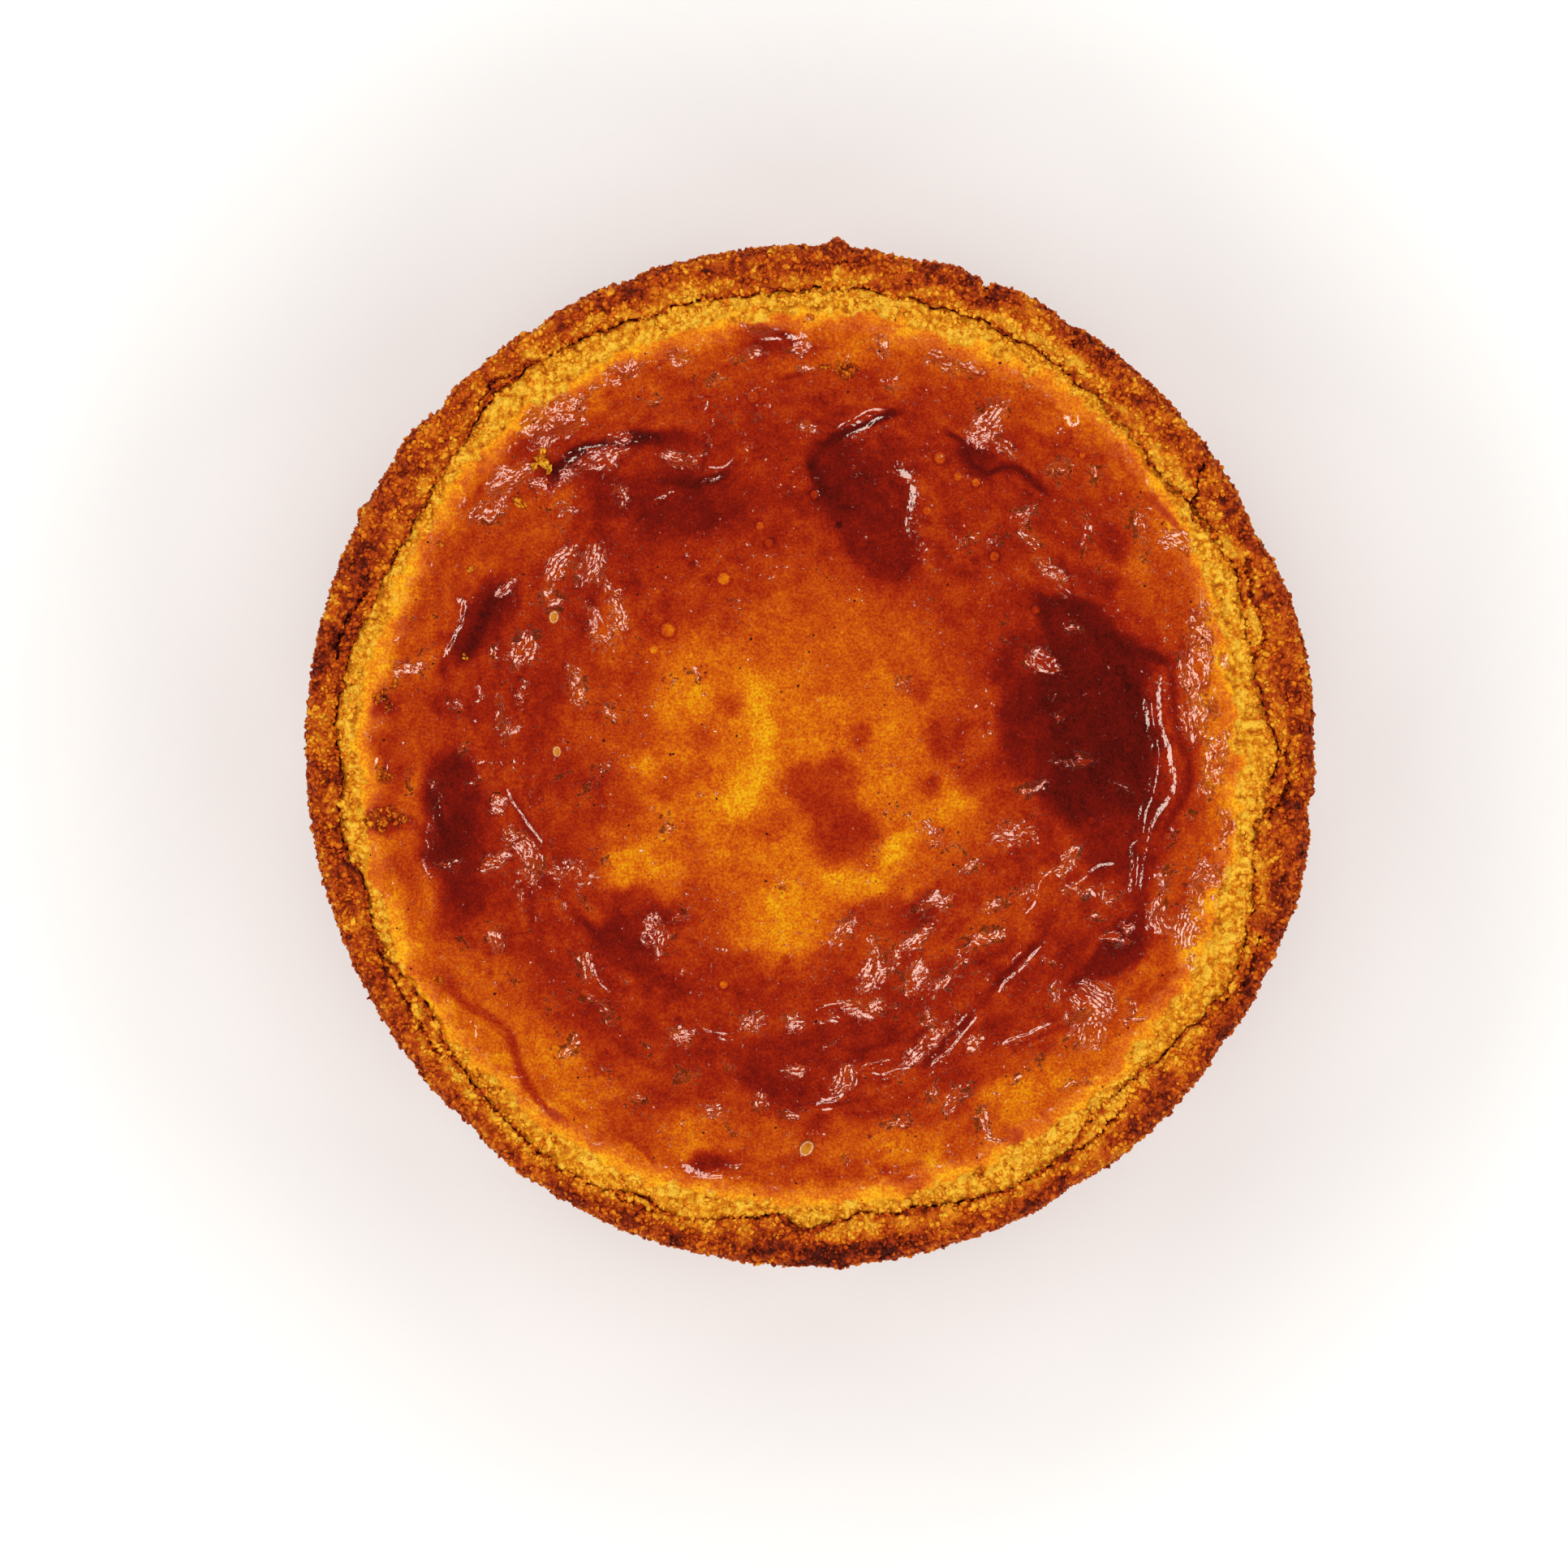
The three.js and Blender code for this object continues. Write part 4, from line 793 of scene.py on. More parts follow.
crustLook = {
    "rimInnerDrop": 1.0,
    "rimShoulder": 1.5,
    "baseTaper": 0.7,
    "footRounding": 1.6,
    "columns": 1320,
    # dents, nicks and crumbs of the outline: angle, outward size, spread in degrees
    "outlineMarks": [
        (13, 0.3, 8), (26.5, -0.55, 3.6), (59, -0.42, 1.2), (65, 0.25, 2.4), (69.6, -0.8, 0.8), (74, 0.25, 2),
        (79, -0.35, 2.2), (87, 0.9, 1.0), (111, -0.3, 1.6), (122.6, -0.42, 1.2), (137.2, -0.42, 0.9),
        (142.5, 0.42, 3), (151.6, 0.5, 0.9), (226.5, -0.28, 1.6), (234.5, 0.28, 2), (273.3, 0.4, 1),
        (301, -0.36, 2.6), (324, -0.36, 2.4), (344, 0.3, 5), (353.6, -0.6, 1.5),
    ],
    # fissures in the rim: points as angle and share of the rim's width, then width in mm
    "fissures": [
        (0.30, [(12, 0.0), (15, 0.30), (19, 0.22), (24, 0.34)]),
        (0.26, [(352, 0.10), (356, 0.34), (1, 0.30)]),
        (0.24, [(33, 0.05), (35, 0.40), (36, 0.62)]), (0.24, [(205, 0.10), (211, 0.30), (219, 0.24)]),
        (0.22, [(57, 0.55), (59, 0.95)]), (0.22, [(68.6, 0.5), (69.6, 1.0)]), (0.2, [(88, 0.45), (84, 0.78)]),
        (0.2, [(126, 0.1), (130, 0.32), (134, 0.2)]), (0.22, [(302, 0.1), (306, 0.36), (312, 0.3)]),
        (0.2, [(246, 0.15), (251, 0.4)]), (0.2, [(160, 0.2), (165, 0.42), (169, 0.36)]),
        (0.2, [(328, 0.2), (333, 0.45), (338, 0.38)]),
    ],
    # how browned the rim is from its inner edge to its outer one, where custard sheltered it and where not
    "rimShares": [-0.1, 0.02, 0.08, 0.25, 0.42, 0.62, 1.0],
    "shelteredBake": [0.50, 0.24, 0.12, 0.26, 0.56, 0.66, 0.57],
    "bareBake": [0.66, 0.54, 0.50, 0.52, 0.54, 0.56, 0.52],
    # how sheltered, and how much darker, round the rim: angle, amount
    "shelter": [(0, 1), (50, 1), (95, 0.9), (135, 0.5), (165, 0), (195, 0), (225, 0.8), (270, 0.9),
                (310, 0.8)],
    "darkerRim": [
        (0, 0.04), (45, -0.04), (90, -0.02), (135, -0.12), (180, 0.03), (225, -0.13), (270, 0.05),
        (315, -0.06),
    ],
    # relief of the pastry in millimetres
    "grainSize": 0.85,
    "grainHeight": 0.20,
    "lumpSize": 3.2,
    "lumpHeight": 0.40,
}


def caseSide(angle, height):
    look = crustLook
    foot = 1 - np.sqrt(1 - (1 - min(height / look["footRounding"], 1)) ** 2)
    upper = smoothStep(flanForm["rimHeight"] - 16, flanForm["rimHeight"] - 3, height)
    marks = marksAt(look["outlineMarks"], angle) * upper
    return (lobeRadius(angle) + marks - look["baseTaper"] * (1 - height / flanForm["rimHeight"])
            - look["footRounding"] * foot)


def fissureDepth(x, y):
    depth = np.zeros_like(x)
    for width, points in crustLook["fissures"]:
        corners = []
        for angle, share in points:
            near = courseAt(flanForm["crackCourse"], np.array([float(angle)]))[0]
            out = mix(near, flanForm["radius"], share)
            corners.append((out * math.cos(math.radians(angle)), out * math.sin(math.radians(angle))))
        path = smoothPath(corners, 5)
        px, py = x + 0.3 * softNoise(x, y, 0.9, 401), y + 0.3 * softNoise(x, y, 0.9, 402)
        best = np.full(len(x), 1e9)
        for (ax, ay), (bx, by) in zip(path[:-1], path[1:]):
            length = math.hypot(bx - ax, by - ay)
            share = np.clip(((px - ax) * (bx - ax) + (py - ay) * (by - ay)) / length ** 2, 0, 1)
            best = np.minimum(best, np.hypot(px - mix(ax, bx, share), py - mix(ay, by, share)))
        depth = np.maximum(depth, 1 - smoothStep(width * 0.35, width * 1.3, best))
    return depth


def buildCase():
    look = crustLook
    rings = []        # count, and a function from angle to radius, height and share of the rim

    def addRing(count, place):
        around = np.arange(count) * 360 / count
        rings.append((around,) + tuple(np.broadcast_to(v, count) for v in place(around)))

    def inside(level, inset=0.0):
        return lambda a: (jointRadius(a, level) + jointGap(a, level) / 2 - inset
                          + 0.12 * openness(level) * aroundNoise(a, 1.2, int(level * 10) + 7), level, -1.0)

    def side(level):
        return lambda a: (caseSide(a, level), level, 2.0)

    bandTop, rimHeight, base = flanForm["bandTop"], flanForm["rimHeight"], flanForm["baseThickness"]
    for level, inset in ((base, 1.3), (base + 1.2, 0), (20, 0)):
        addRing(180, inside(level, inset))
    for drop in (flanForm["crackDepth"], 3.0, 2.0, 1.4, 1.1, 0.8):
        addRing(look["columns"], inside(bandTop - drop))
    for share in np.linspace(0, 0.955, 19):
        def rim(a, share=share):
            near = jointRadius(a, bandTop) + jointGap(a, bandTop) / 2
            shoulder = 1 - math.sqrt(1 - smoothStep(0.72, 1, share) ** 2)
            level = rimHeight - look["rimInnerDrop"] * (1 - share) ** 2 - look["rimShoulder"] * shoulder
            return mix(near, caseSide(a, rimHeight), share), level, share
        addRing(look["columns"], rim)
    for level in np.arange(rimHeight - 1.1, rimHeight - 5, -0.33):
        addRing(look["columns"], side(level))
    for level in np.concatenate([np.arange(rimHeight - 5.4, 2.2, -0.62), [1.7, 1.25, 0.85, 0.5, 0.2, 0.02]]):
        addRing(540, side(level))
    footRadius = flanForm["radius"] - look["baseTaper"] - look["footRounding"]
    for radius in np.arange(footRadius - 1.2, 2, -1.6):
        addRing(270 if radius > 24 else 90, lambda a, radius=radius: (radius, 0.0, 3.0))

    angle = np.concatenate([ring[0] for ring in rings])
    radius = np.concatenate([ring[1] for ring in rings])
    height = np.concatenate([ring[2] for ring in rings])
    zone = np.concatenate([ring[3] for ring in rings])
    x, y = radius * np.cos(np.radians(angle)), radius * np.sin(np.radians(angle))
    onRim = (zone >= 0) & (zone <= 1)
    fissure = np.where(onRim, fissureDepth(x, y), 0)
    height = height - 0.7 * fissure
    points = np.vstack([[0, 0, base], np.stack([x, y, height], axis=1), [0, 0, 0]])

    # browning: pale where the custard sheltered the rim, dark outside, even down the side
    patches = layeredNoise(x, y, 6.5, 71)
    across = zone + 0.20 * softNoise(x, y, 1.8, 72)
    sheltered = np.interp(across, look["rimShares"], look["shelteredBake"])
    bare = np.interp(across, look["rimShares"], look["bareBake"])
    shelter = np.clip(courseAt(look["shelter"], angle) + 0.5 * softNoise(x, y, 3.4, 75), 0, 1)
    rimBake = mix(bare, sheltered, shelter) + 0.26 * patches + 0.16 * softNoise(x, y, 1.6, 73)
    rimBake = rimBake + courseAt(look["darkerRim"], angle)
    sideBake = 0.52 + 0.10 * layeredNoise(angle * 0.87, height, 7, 74) + 0.12 * smoothStep(8, 0, height)
    # inner wall of the crack: pale crumb at its lip, and painted shade that darkens it further down
    wallBakeAndShade = np.interp(height, [30, 35.6, 37.2], [0.8, 0.7, 0.35])
    bake = np.where(zone < 0, wallBakeAndShade, np.where(onRim, rimBake, np.where(zone > 2.5, 0.66, sideBake)))
    # painted shade: the fissures are painted darker as well as sunk
    bake = np.clip(bake + 0.5 * fissure, 0, 1)
    rough = np.where(zone < 0, 0.35 * smoothStep(33, 36, height), np.where(onRim, 1.0, 0.0))
    rough = np.where(zone == 2, mix(0.42, 1.0, smoothStep(rimHeight - 5, rimHeight - 2, height)), rough)
    rough = np.where(zone > 2.5, 0.0, rough) * smoothStep(0.0, 1.2, height)
    rimChance = np.where(zone < 0, 0.6 * smoothStep(35.4, 36.0, height), np.where(onRim, 1.0, 0.0))
    sideChance = mix(0.06, 0.7, smoothStep(33, 36.5, height)) * smoothStep(1.0, 3.0, height)
    sideChance = np.where(zone == 2, sideChance, 0.0)
    values = {"bake": np.concatenate([[0.5], bake, [0.66]]), "rough": np.concatenate([[0], rough, [0]]),
              "grainChance": np.concatenate([[0], rimChance, [0]]),
              "sideChance": np.concatenate([[0], sideChance, [0]])}
    return makeMesh("crustCase", points, shellFaces([len(ring[0]) for ring in rings]), values)


def sandyReliefTree(material):
    # sandy grain as warped cells with pits between them, over larger lumps, along the normal
    tree, sizes = newGeometryTree("sandyRelief", ["Grain size", "Grain height", "Lump size", "Lump height"])
    position = addNode(tree, "GeometryNodeInputPosition")
    normal = addNode(tree, "GeometryNodeInputNormal")
    rough = addNode(tree, "GeometryNodeInputNamedAttribute", {"data_type": "FLOAT"}, {"Name": "rough"})
    grainScale = addNode(tree, "ShaderNodeMath", {"operation": "DIVIDE"}, {0: 1.0, 1: sizes["Grain size"]})
    lumpScale = addNode(tree, "ShaderNodeMath", {"operation": "DIVIDE"}, {0: 1.0, 1: sizes["Lump size"]})
    bend = addNode(tree, "ShaderNodeTexNoise",
                   inputs={"Vector": position, "Scale": 1300.0, "Detail": 3.0, "Roughness": 0.6})
    bent = addNode(tree, "ShaderNodeVectorMath", {"operation": "SCALE"},
                   {0: bend.outputs["Color"], "Scale": 1.1 * millimetre})
    warped = addNode(tree, "ShaderNodeVectorMath", {"operation": "ADD"}, {0: position, 1: bent})
    cells = addNode(tree, "ShaderNodeTexVoronoi", {"feature": "SMOOTH_F1"},
                    {"Vector": warped, "Scale": grainScale, "Smoothness": 0.15})
    rounded = addNode(tree, "ShaderNodeMapRange",
                      inputs={"Value": cells.outputs["Distance"], "From Min": 0.05, "From Max": 0.75,
                              "To Min": 0.55, "To Max": -0.75})
    grain = addNode(tree, "ShaderNodeMath", {"operation": "MULTIPLY"}, {0: rounded, 1: sizes["Grain height"]})
    lumps = addNode(tree, "ShaderNodeTexNoise",
                    inputs={"Vector": position, "Scale": lumpScale, "Detail": 2.0, "Roughness": 0.6})
    centred = addNode(tree, "ShaderNodeMath", {"operation": "SUBTRACT"}, {0: lumps, 1: 0.5})
    lump = addNode(tree, "ShaderNodeMath", {"operation": "MULTIPLY"}, {0: centred, 1: sizes["Lump height"]})
    both = addNode(tree, "ShaderNodeMath", {"operation": "ADD"}, {0: grain, 1: lump})
    masked = addNode(tree, "ShaderNodeMath", {"operation": "MULTIPLY"}, {0: both, 1: rough})
    push = addNode(tree, "ShaderNodeVectorMath", {"operation": "SCALE"}, {0: normal, "Scale": masked})
    # the cells' heights are kept for painted light: crests paler, pits darker
    noted = addNode(tree, "GeometryNodeStoreNamedAttribute", {"data_type": "FLOAT", "domain": "POINT"},
                    {"Geometry": sizes["Geometry"], "Name": "grainTop", "Value": rounded})
    moved = addNode(tree, "GeometryNodeSetPosition", inputs={"Geometry": noted, "Offset": push})
    return finishGeometryTree(tree, moved, material)


def scatterTree(name, material, chanceName="grainChance", faces=1):
    # crumbs half sunk in a surface, each turned, sized and chipped its own way
    tree, sizes = newGeometryTree(name, ["Density", "Grain size", "Size spread", "Chipping", "Seed"])
    seed = sizes["Seed"]
    chance = addNode(tree, "GeometryNodeInputNamedAttribute", {"data_type": "FLOAT"}, {"Name": chanceName})
    density = addNode(tree, "ShaderNodeMath", {"operation": "MULTIPLY"}, {0: chance, 1: sizes["Density"]})
    points = addNode(tree, "GeometryNodeDistributePointsOnFaces", {"distribute_method": "RANDOM"},
                     {"Mesh": sizes["Geometry"], "Density": density, "Seed": seed})
    crumb = addNode(tree, "GeometryNodeMeshIcoSphere", inputs={"Radius": 0.5, "Subdivisions": faces})
    turn = addNode(tree, "FunctionNodeRandomValue", {"data_type": "FLOAT_VECTOR"},
                   {0: (0, 0, 0), 1: (fullTurn, fullTurn, fullTurn), "Seed": seed})
    less = addNode(tree, "ShaderNodeMath", {"operation": "SUBTRACT"}, {0: 1.0, 1: sizes["Size spread"]})
    more = addNode(tree, "ShaderNodeMath", {"operation": "ADD"}, {0: 1.0, 1: sizes["Size spread"]})
    small = addNode(tree, "ShaderNodeMath", {"operation": "MULTIPLY"}, {0: less, 1: sizes["Grain size"]})
    large = addNode(tree, "ShaderNodeMath", {"operation": "MULTIPLY"}, {0: more, 1: sizes["Grain size"]})
    stretch = addNode(tree, "FunctionNodeRandomValue", {"data_type": "FLOAT_VECTOR"},
                      {0: (0.6, 0.6, 0.5), 1: (1.5, 1.5, 1.1), "Seed": seed})
    size = addNode(tree, "FunctionNodeRandomValue", {"data_type": "FLOAT"},
                   {2: small, 3: large, "Seed": seed})
    scale = addNode(tree, "ShaderNodeVectorMath", {"operation": "SCALE"},
                    {0: stretch, "Scale": size.outputs[1]})
    placed = addNode(tree, "GeometryNodeInstanceOnPoints",
                     inputs={"Points": points, "Instance": crumb, "Rotation": turn, "Scale": scale})
    tone = addNode(tree, "FunctionNodeRandomValue", {"data_type": "FLOAT"}, {2: 0.0, 3: 1.0})
    toned = addNode(tree, "GeometryNodeStoreNamedAttribute", {"data_type": "FLOAT", "domain": "INSTANCE"},
                    {"Geometry": placed, "Name": "crumbTone", "Value": tone.outputs[1]})
    aimed = addNode(tree, "GeometryNodeStoreNamedAttribute",
                    {"data_type": "FLOAT_VECTOR", "domain": "INSTANCE"},
                    {"Geometry": toned, "Name": "outward", "Value": points.outputs["Normal"]})
    chipped = chippedTree(tree, aimed, sizes["Chipping"], 2600.0, 2.0)
    outward = addNode(tree, "GeometryNodeInputNamedAttribute", {"data_type": "FLOAT_VECTOR"},
                      {"Name": "outward"})
    # how far each face of a grain looks outward, kept for the painted shade down its sides
    facing = addNode(tree, "ShaderNodeVectorMath", {"operation": "DOT_PRODUCT"},
                     {0: outward, 1: addNode(tree, "GeometryNodeInputNormal")})
    noted = addNode(tree, "GeometryNodeStoreNamedAttribute", {"data_type": "FLOAT", "domain": "POINT"},
                    {"Geometry": chipped, "Name": "grainTop", "Value": facing.outputs["Value"]})
    faceted = addNode(tree, "GeometryNodeSetShadeSmooth", inputs={"Geometry": noted, "Shade Smooth": False})
    return finishGeometryTree(tree, faceted, material)


def chippedTree(tree, instances, chipping, scale, detail):
    # the instances made real, with their corners pushed about
    loose = addNode(tree, "GeometryNodeRealizeInstances", inputs={"Geometry": instances})
    chips = addNode(tree, "ShaderNodeTexNoise", inputs={"Scale": scale, "Detail": detail})
    centred = addNode(tree, "ShaderNodeVectorMath", {"operation": "SUBTRACT"},
                      {0: chips.outputs["Color"], 1: (0.5, 0.5, 0.5)})
    push = addNode(tree, "ShaderNodeVectorMath", {"operation": "SCALE"}, {0: centred, "Scale": chipping})
    return addNode(tree, "GeometryNodeSetPosition", inputs={"Geometry": loose, "Offset": push})


def listedTree(name, material, faces=3):
    # one crumb or blister on each listed point, as large as the point's own size says
    tree, sizes = newGeometryTree(name, ["Chipping", "Flatness", "Turning"])
    size = addNode(tree, "GeometryNodeInputNamedAttribute", {"data_type": "FLOAT"}, {"Name": "size"})
    crumb = addNode(tree, "GeometryNodeMeshIcoSphere", inputs={"Radius": 0.5, "Subdivisions": faces})
    most = addNode(tree, "ShaderNodeCombineXYZ",
                   inputs={"X": sizes["Turning"], "Y": sizes["Turning"], "Z": fullTurn})
    turn = addNode(tree, "FunctionNodeRandomValue", {"data_type": "FLOAT_VECTOR"},
                   {0: (0, 0, 0), 1: most, "Seed": 3})
    shape = addNode(tree, "ShaderNodeCombineXYZ", inputs={"X": 1.15, "Y": 0.92, "Z": sizes["Flatness"]})
    scale = addNode(tree, "ShaderNodeVectorMath", {"operation": "SCALE"}, {0: shape, "Scale": size})
    placed = addNode(tree, "GeometryNodeInstanceOnPoints",
                     inputs={"Points": sizes["Geometry"], "Instance": crumb, "Rotation": turn,
                             "Scale": scale})
    chipped = chippedTree(tree, placed, sizes["Chipping"], 2000.0, 3.0)
    # how far each face looks straight up, kept for painted light: paler tops and shaded sides
    upward = addNode(tree, "ShaderNodeSeparateXYZ", inputs={0: addNode(tree, "GeometryNodeInputNormal")})
    noted = addNode(tree, "GeometryNodeStoreNamedAttribute", {"data_type": "FLOAT", "domain": "POINT"},
                    {"Geometry": chipped, "Name": "grainTop", "Value": upward.outputs["Z"]})
    smooth = addNode(tree, "GeometryNodeSetShadeSmooth", inputs={"Geometry": noted})
    return finishGeometryTree(tree, smooth, material)


# Materials

def newMaterial(name, values=()):
    # an empty material, with the named numbers of the mesh that it reads
    material = bpy.data.materials.new(name)
    material.use_nodes = True
    tree = material.node_tree
    tree.nodes.clear()
    shader = addNode(tree, "ShaderNodeBsdfPrincipled")
    addNode(tree, "ShaderNodeOutputMaterial", inputs={"Surface": shader})
    place = addNode(tree, "ShaderNodeTexCoord").outputs["Object"]
    read = {value: addNode(tree, "ShaderNodeAttribute", {"attribute_name": value}).outputs["Fac"]
            for value in values}
    return material, tree, shader, place, read


def patternAt(tree, place, size, detail=2.0, rough=0.5):
    # noise with features of this many millimetres, as a value round zero
    noise = addNode(tree, "ShaderNodeTexNoise", {"noise_dimensions": "3D"},
                    {"Vector": place, "Scale": 1 / (size * millimetre), "Detail": detail, "Roughness": rough})
    return addNode(tree, "ShaderNodeMath", {"operation": "SUBTRACT"}, {0: noise, 1: 0.5})


def addUp(tree, total, *parts):
    # a value, plus each part times its factor
    for part, factor in parts:
        total = addNode(tree, "ShaderNodeMath", {"operation": "MULTIPLY_ADD"}, {0: part, 1: factor, 2: total})
    return total


def bumpFrom(tree, height, distance):
    return addNode(tree, "ShaderNodeBump",
                   inputs={"Height": height, "Strength": 1.0, "Distance": distance * millimetre})


shortcrustLook = {
    "browning": [(0.0, "#f8b830"), (0.16, "#ec981c"), (0.32, "#de780e"), (0.48, "#cc580a"), (0.64, "#b43e08"),
                 (0.80, "#8a2606"), (1.0, "#4c1204")],
    # strength of the blotches, 2.6 mm wide, and of the speckles, 0.9 mm
    "blotches": 0.3,
    "speckles": 1.4,
    "caseRoughness": 0.8,
    "grainRoughness": 0.6,
    # painted light: how much paler a crest is painted than its shaded sides, and how far one grain's tone
    # strays from the next
    "paintedCrestLight": 0.3,
    "grainTones": 0.42,
}


def bakedShortcrust():
    # butter shortcrust, pressed into a ring and baked: dry, sandy, yellow where sheltered and
    # dark brown on its crests, with a fine grain that scatters light and no clear gloss
    look = shortcrustLook
    material, tree, shader, place, read = newMaterial("bakedShortcrust", ("bake", "grainTop"))
    # painted light: the grains' crests are painted paler and the pits between them darker
    browned = addUp(tree, read["bake"], (patternAt(tree, place, 2.6), look["blotches"]),
                    (patternAt(tree, place, 0.9, 4.0, 0.7), look["speckles"]),
                    (read["grainTop"], -look["paintedCrestLight"]))
    relief = addUp(tree, patternAt(tree, place, 0.6, 4.0, 0.65), (patternAt(tree, place, 0.2), 0.3))
    feed(tree, shader, {"Base Color": addNode(tree, "ShaderNodeValToRGB", {"stops": look["browning"]},
                                              {"Fac": browned}),
                        "Roughness": look["caseRoughness"], "Specular IOR Level": 0.15,
                        "Normal": bumpFrom(tree, relief, 0.7)})
    return material


def crumbledShortcrust(name, paler):
    # loose grains of the same pastry: each grain has its own tone, and painted shade makes it darker down its
    # sides and paler on its top
    look = shortcrustLook
    material, tree, shader, place, read = newMaterial(name, ("bake", "crumbTone", "grainTop"))
    browned = addUp(tree, read["bake"], (read["crumbTone"], look["grainTones"]), (read["grainTop"], -0.32),
                    (patternAt(tree, place, 0.9, 4.0, 0.7), look["speckles"]), (1.0, -paler))
    feed(tree, shader, {"Base Color": addNode(tree, "ShaderNodeValToRGB", {"stops": look["browning"]},
                                              {"Fac": browned}),
                        "Roughness": look["grainRoughness"], "Specular IOR Level": 0.1,
                        "Normal": bumpFrom(tree, patternAt(tree, place, 0.3, 3.0, 0.6), 0.3)})
    return material


custardSkinLook = {
    "scorching": [(0.0, "#eaac14"), (0.12, "#e2900a"), (0.26, "#d67008"), (0.40, "#c45208"),
                  (0.54, "#ae3807"), (0.68, "#982006"), (0.82, "#761106"), (1.0, "#3e0604")],
    "crumb": [(0.0, "#fcc43a"), (0.28, "#e89a16"), (0.6, "#c86a08"), (1.0, "#843204")],
    # mottling of the skin: size in mm, detail, strength
    "mottling": [(2.2, 3.0, 0.22), (0.7, 2.0, 0.26), (0.24, 1.0, 0.52)],
    "skinRoughness": 0.1,
    "crumbRoughness": 0.75,
    # heights in millimetres of the fine relief
    "peelHeight": 0.02,
    "rippleHeight": 0.13,
    "crumbHeight": 0.6,
    # share of a ripple that rises
    "longSide": 0.62,
    # share of the ripples' height in the flecks that break them up
    "fleckShare": 0.6,
    # painted highlight: the paler tone that the skin is painted where it ripples and glints, partly for the
    # thin lifted skin there, and how far
    "paintedGlintTone": 0.48,
    "paintedGlintPull": 0.5,
}


def scorchedCustardSkin():
    # egg custard baked until its sugar browns: a taut shiny skin, sticky where it is darkest,
    # wrinkled in fine ripples that catch the light, and dry pale crumb in the band at its edge
    look = custardSkinLook
    material, tree, shader, place, read = newMaterial(
        "scorchedCustardSkin", ("scorch", "crumb", "gloss", "lump", "ripple", "rippleCount"))
    # the ripples break up into flecks where they are faint
    rippled = addNode(tree, "ShaderNodeMapRange", {"interpolation_type": "SMOOTHSTEP"},
                      {"Value": addUp(tree, read["ripple"], (patternAt(tree, place, 0.55, 2.0, 0.6), 2.2)),
                       "From Min": 0.46, "From Max": 0.58})
    # mottled at three sizes, least where the skin is darkest
    mottle = addUp(tree, 0.0, *[(patternAt(tree, place, size, detail), strength)
                                for size, detail, strength in look["mottling"]])
    calm = addUp(tree, 1.55, (read["scorch"], -1.2))
    # painted highlight: where the skin ripples and glints, its tone is painted paler
    pull = addUp(tree, 0.0, (rippled, look["paintedGlintPull"]))
    paintedGlinting = addNode(tree, "ShaderNodeMix", {"data_type": "FLOAT"},
                       {"Factor": pull, 2: read["scorch"], 3: look["paintedGlintTone"]})
    skin = addNode(tree, "ShaderNodeValToRGB", {"stops": look["scorching"]},
                   {"Fac": addUp(tree, paintedGlinting, (mottle, calm))})
    # painted light: the crumb is paler on the lumps' tops and darker in their hollows
    tone = addUp(tree, 0.6, (patternAt(tree, place, 0.6, 4.0, 0.65), 2.6), (read["lump"], -0.55))
    crumbColour = addNode(tree, "ShaderNodeValToRGB", {"stops": look["crumb"]}, {"Fac": tone})
    crumb = addNode(tree, "ShaderNodeMapRange", {"interpolation_type": "SMOOTHSTEP"},
                    {"Value": addUp(tree, read["crumb"], (patternAt(tree, place, 0.8, 3.0, 0.6), 0.9)),
                     "From Min": 0.2, "From Max": 0.8})
    colour = addNode(tree, "ShaderNodeMix", {"data_type": "RGBA"}, {"Factor": crumb, 6: skin, 7: crumbColour})
    roughness = addNode(tree, "ShaderNodeMapRange",
                        inputs={"Value": read["gloss"], "To Min": look["crumbRoughness"],
                                "To Max": look["skinRoughness"]})
    # each ripple rises over its long side, which catches the light, and drops over a short dark one
    shortSide = 1 - look["longSide"]
    count = addUp(tree, read["rippleCount"], (patternAt(tree, place, 0.9), 0.5))
    share = addNode(tree, "ShaderNodeMath", {"operation": "FRACT"}, {0: count})
    rise = addNode(tree, "ShaderNodeMath", {"operation": "DIVIDE"}, {0: share, 1: look["longSide"]})
    drop = addUp(tree, 1 / shortSide, (share, -1 / shortSide))
    ridges = addNode(tree, "ShaderNodeMath", {"operation": "MINIMUM"}, {0: rise, 1: drop})
    flecked = addUp(tree, ridges, (patternAt(tree, place, 0.6, 0.0), look["fleckShare"]))
    ripples = addNode(tree, "ShaderNodeMath", {"operation": "MULTIPLY"}, {0: flecked, 1: rippled})
    peel = addUp(tree, patternAt(tree, place, 1.1), (patternAt(tree, place, 0.42, 1.0), 1.8))
    crumbs = addNode(tree, "ShaderNodeMath", {"operation": "MULTIPLY"},
                     {0: patternAt(tree, place, 0.55, 4.0, 0.6), 1: crumb})
    relief = addUp(tree, 0.0, (ripples, look["rippleHeight"]), (peel, look["peelHeight"]),
                   (crumbs, look["crumbHeight"]))
    bump = bumpFrom(tree, relief, 1.0)
    feed(tree, shader, {"Base Color": colour.outputs[2], "Roughness": roughness, "Normal": bump,
                        "Specular IOR Level": 0.45, "Specular Tint": linear("#ffd08c"),
                        "Coat Weight": read["gloss"], "Coat Roughness": 0.06, "Coat IOR": 1.7,
                        "Coat Normal": bump})
    return material


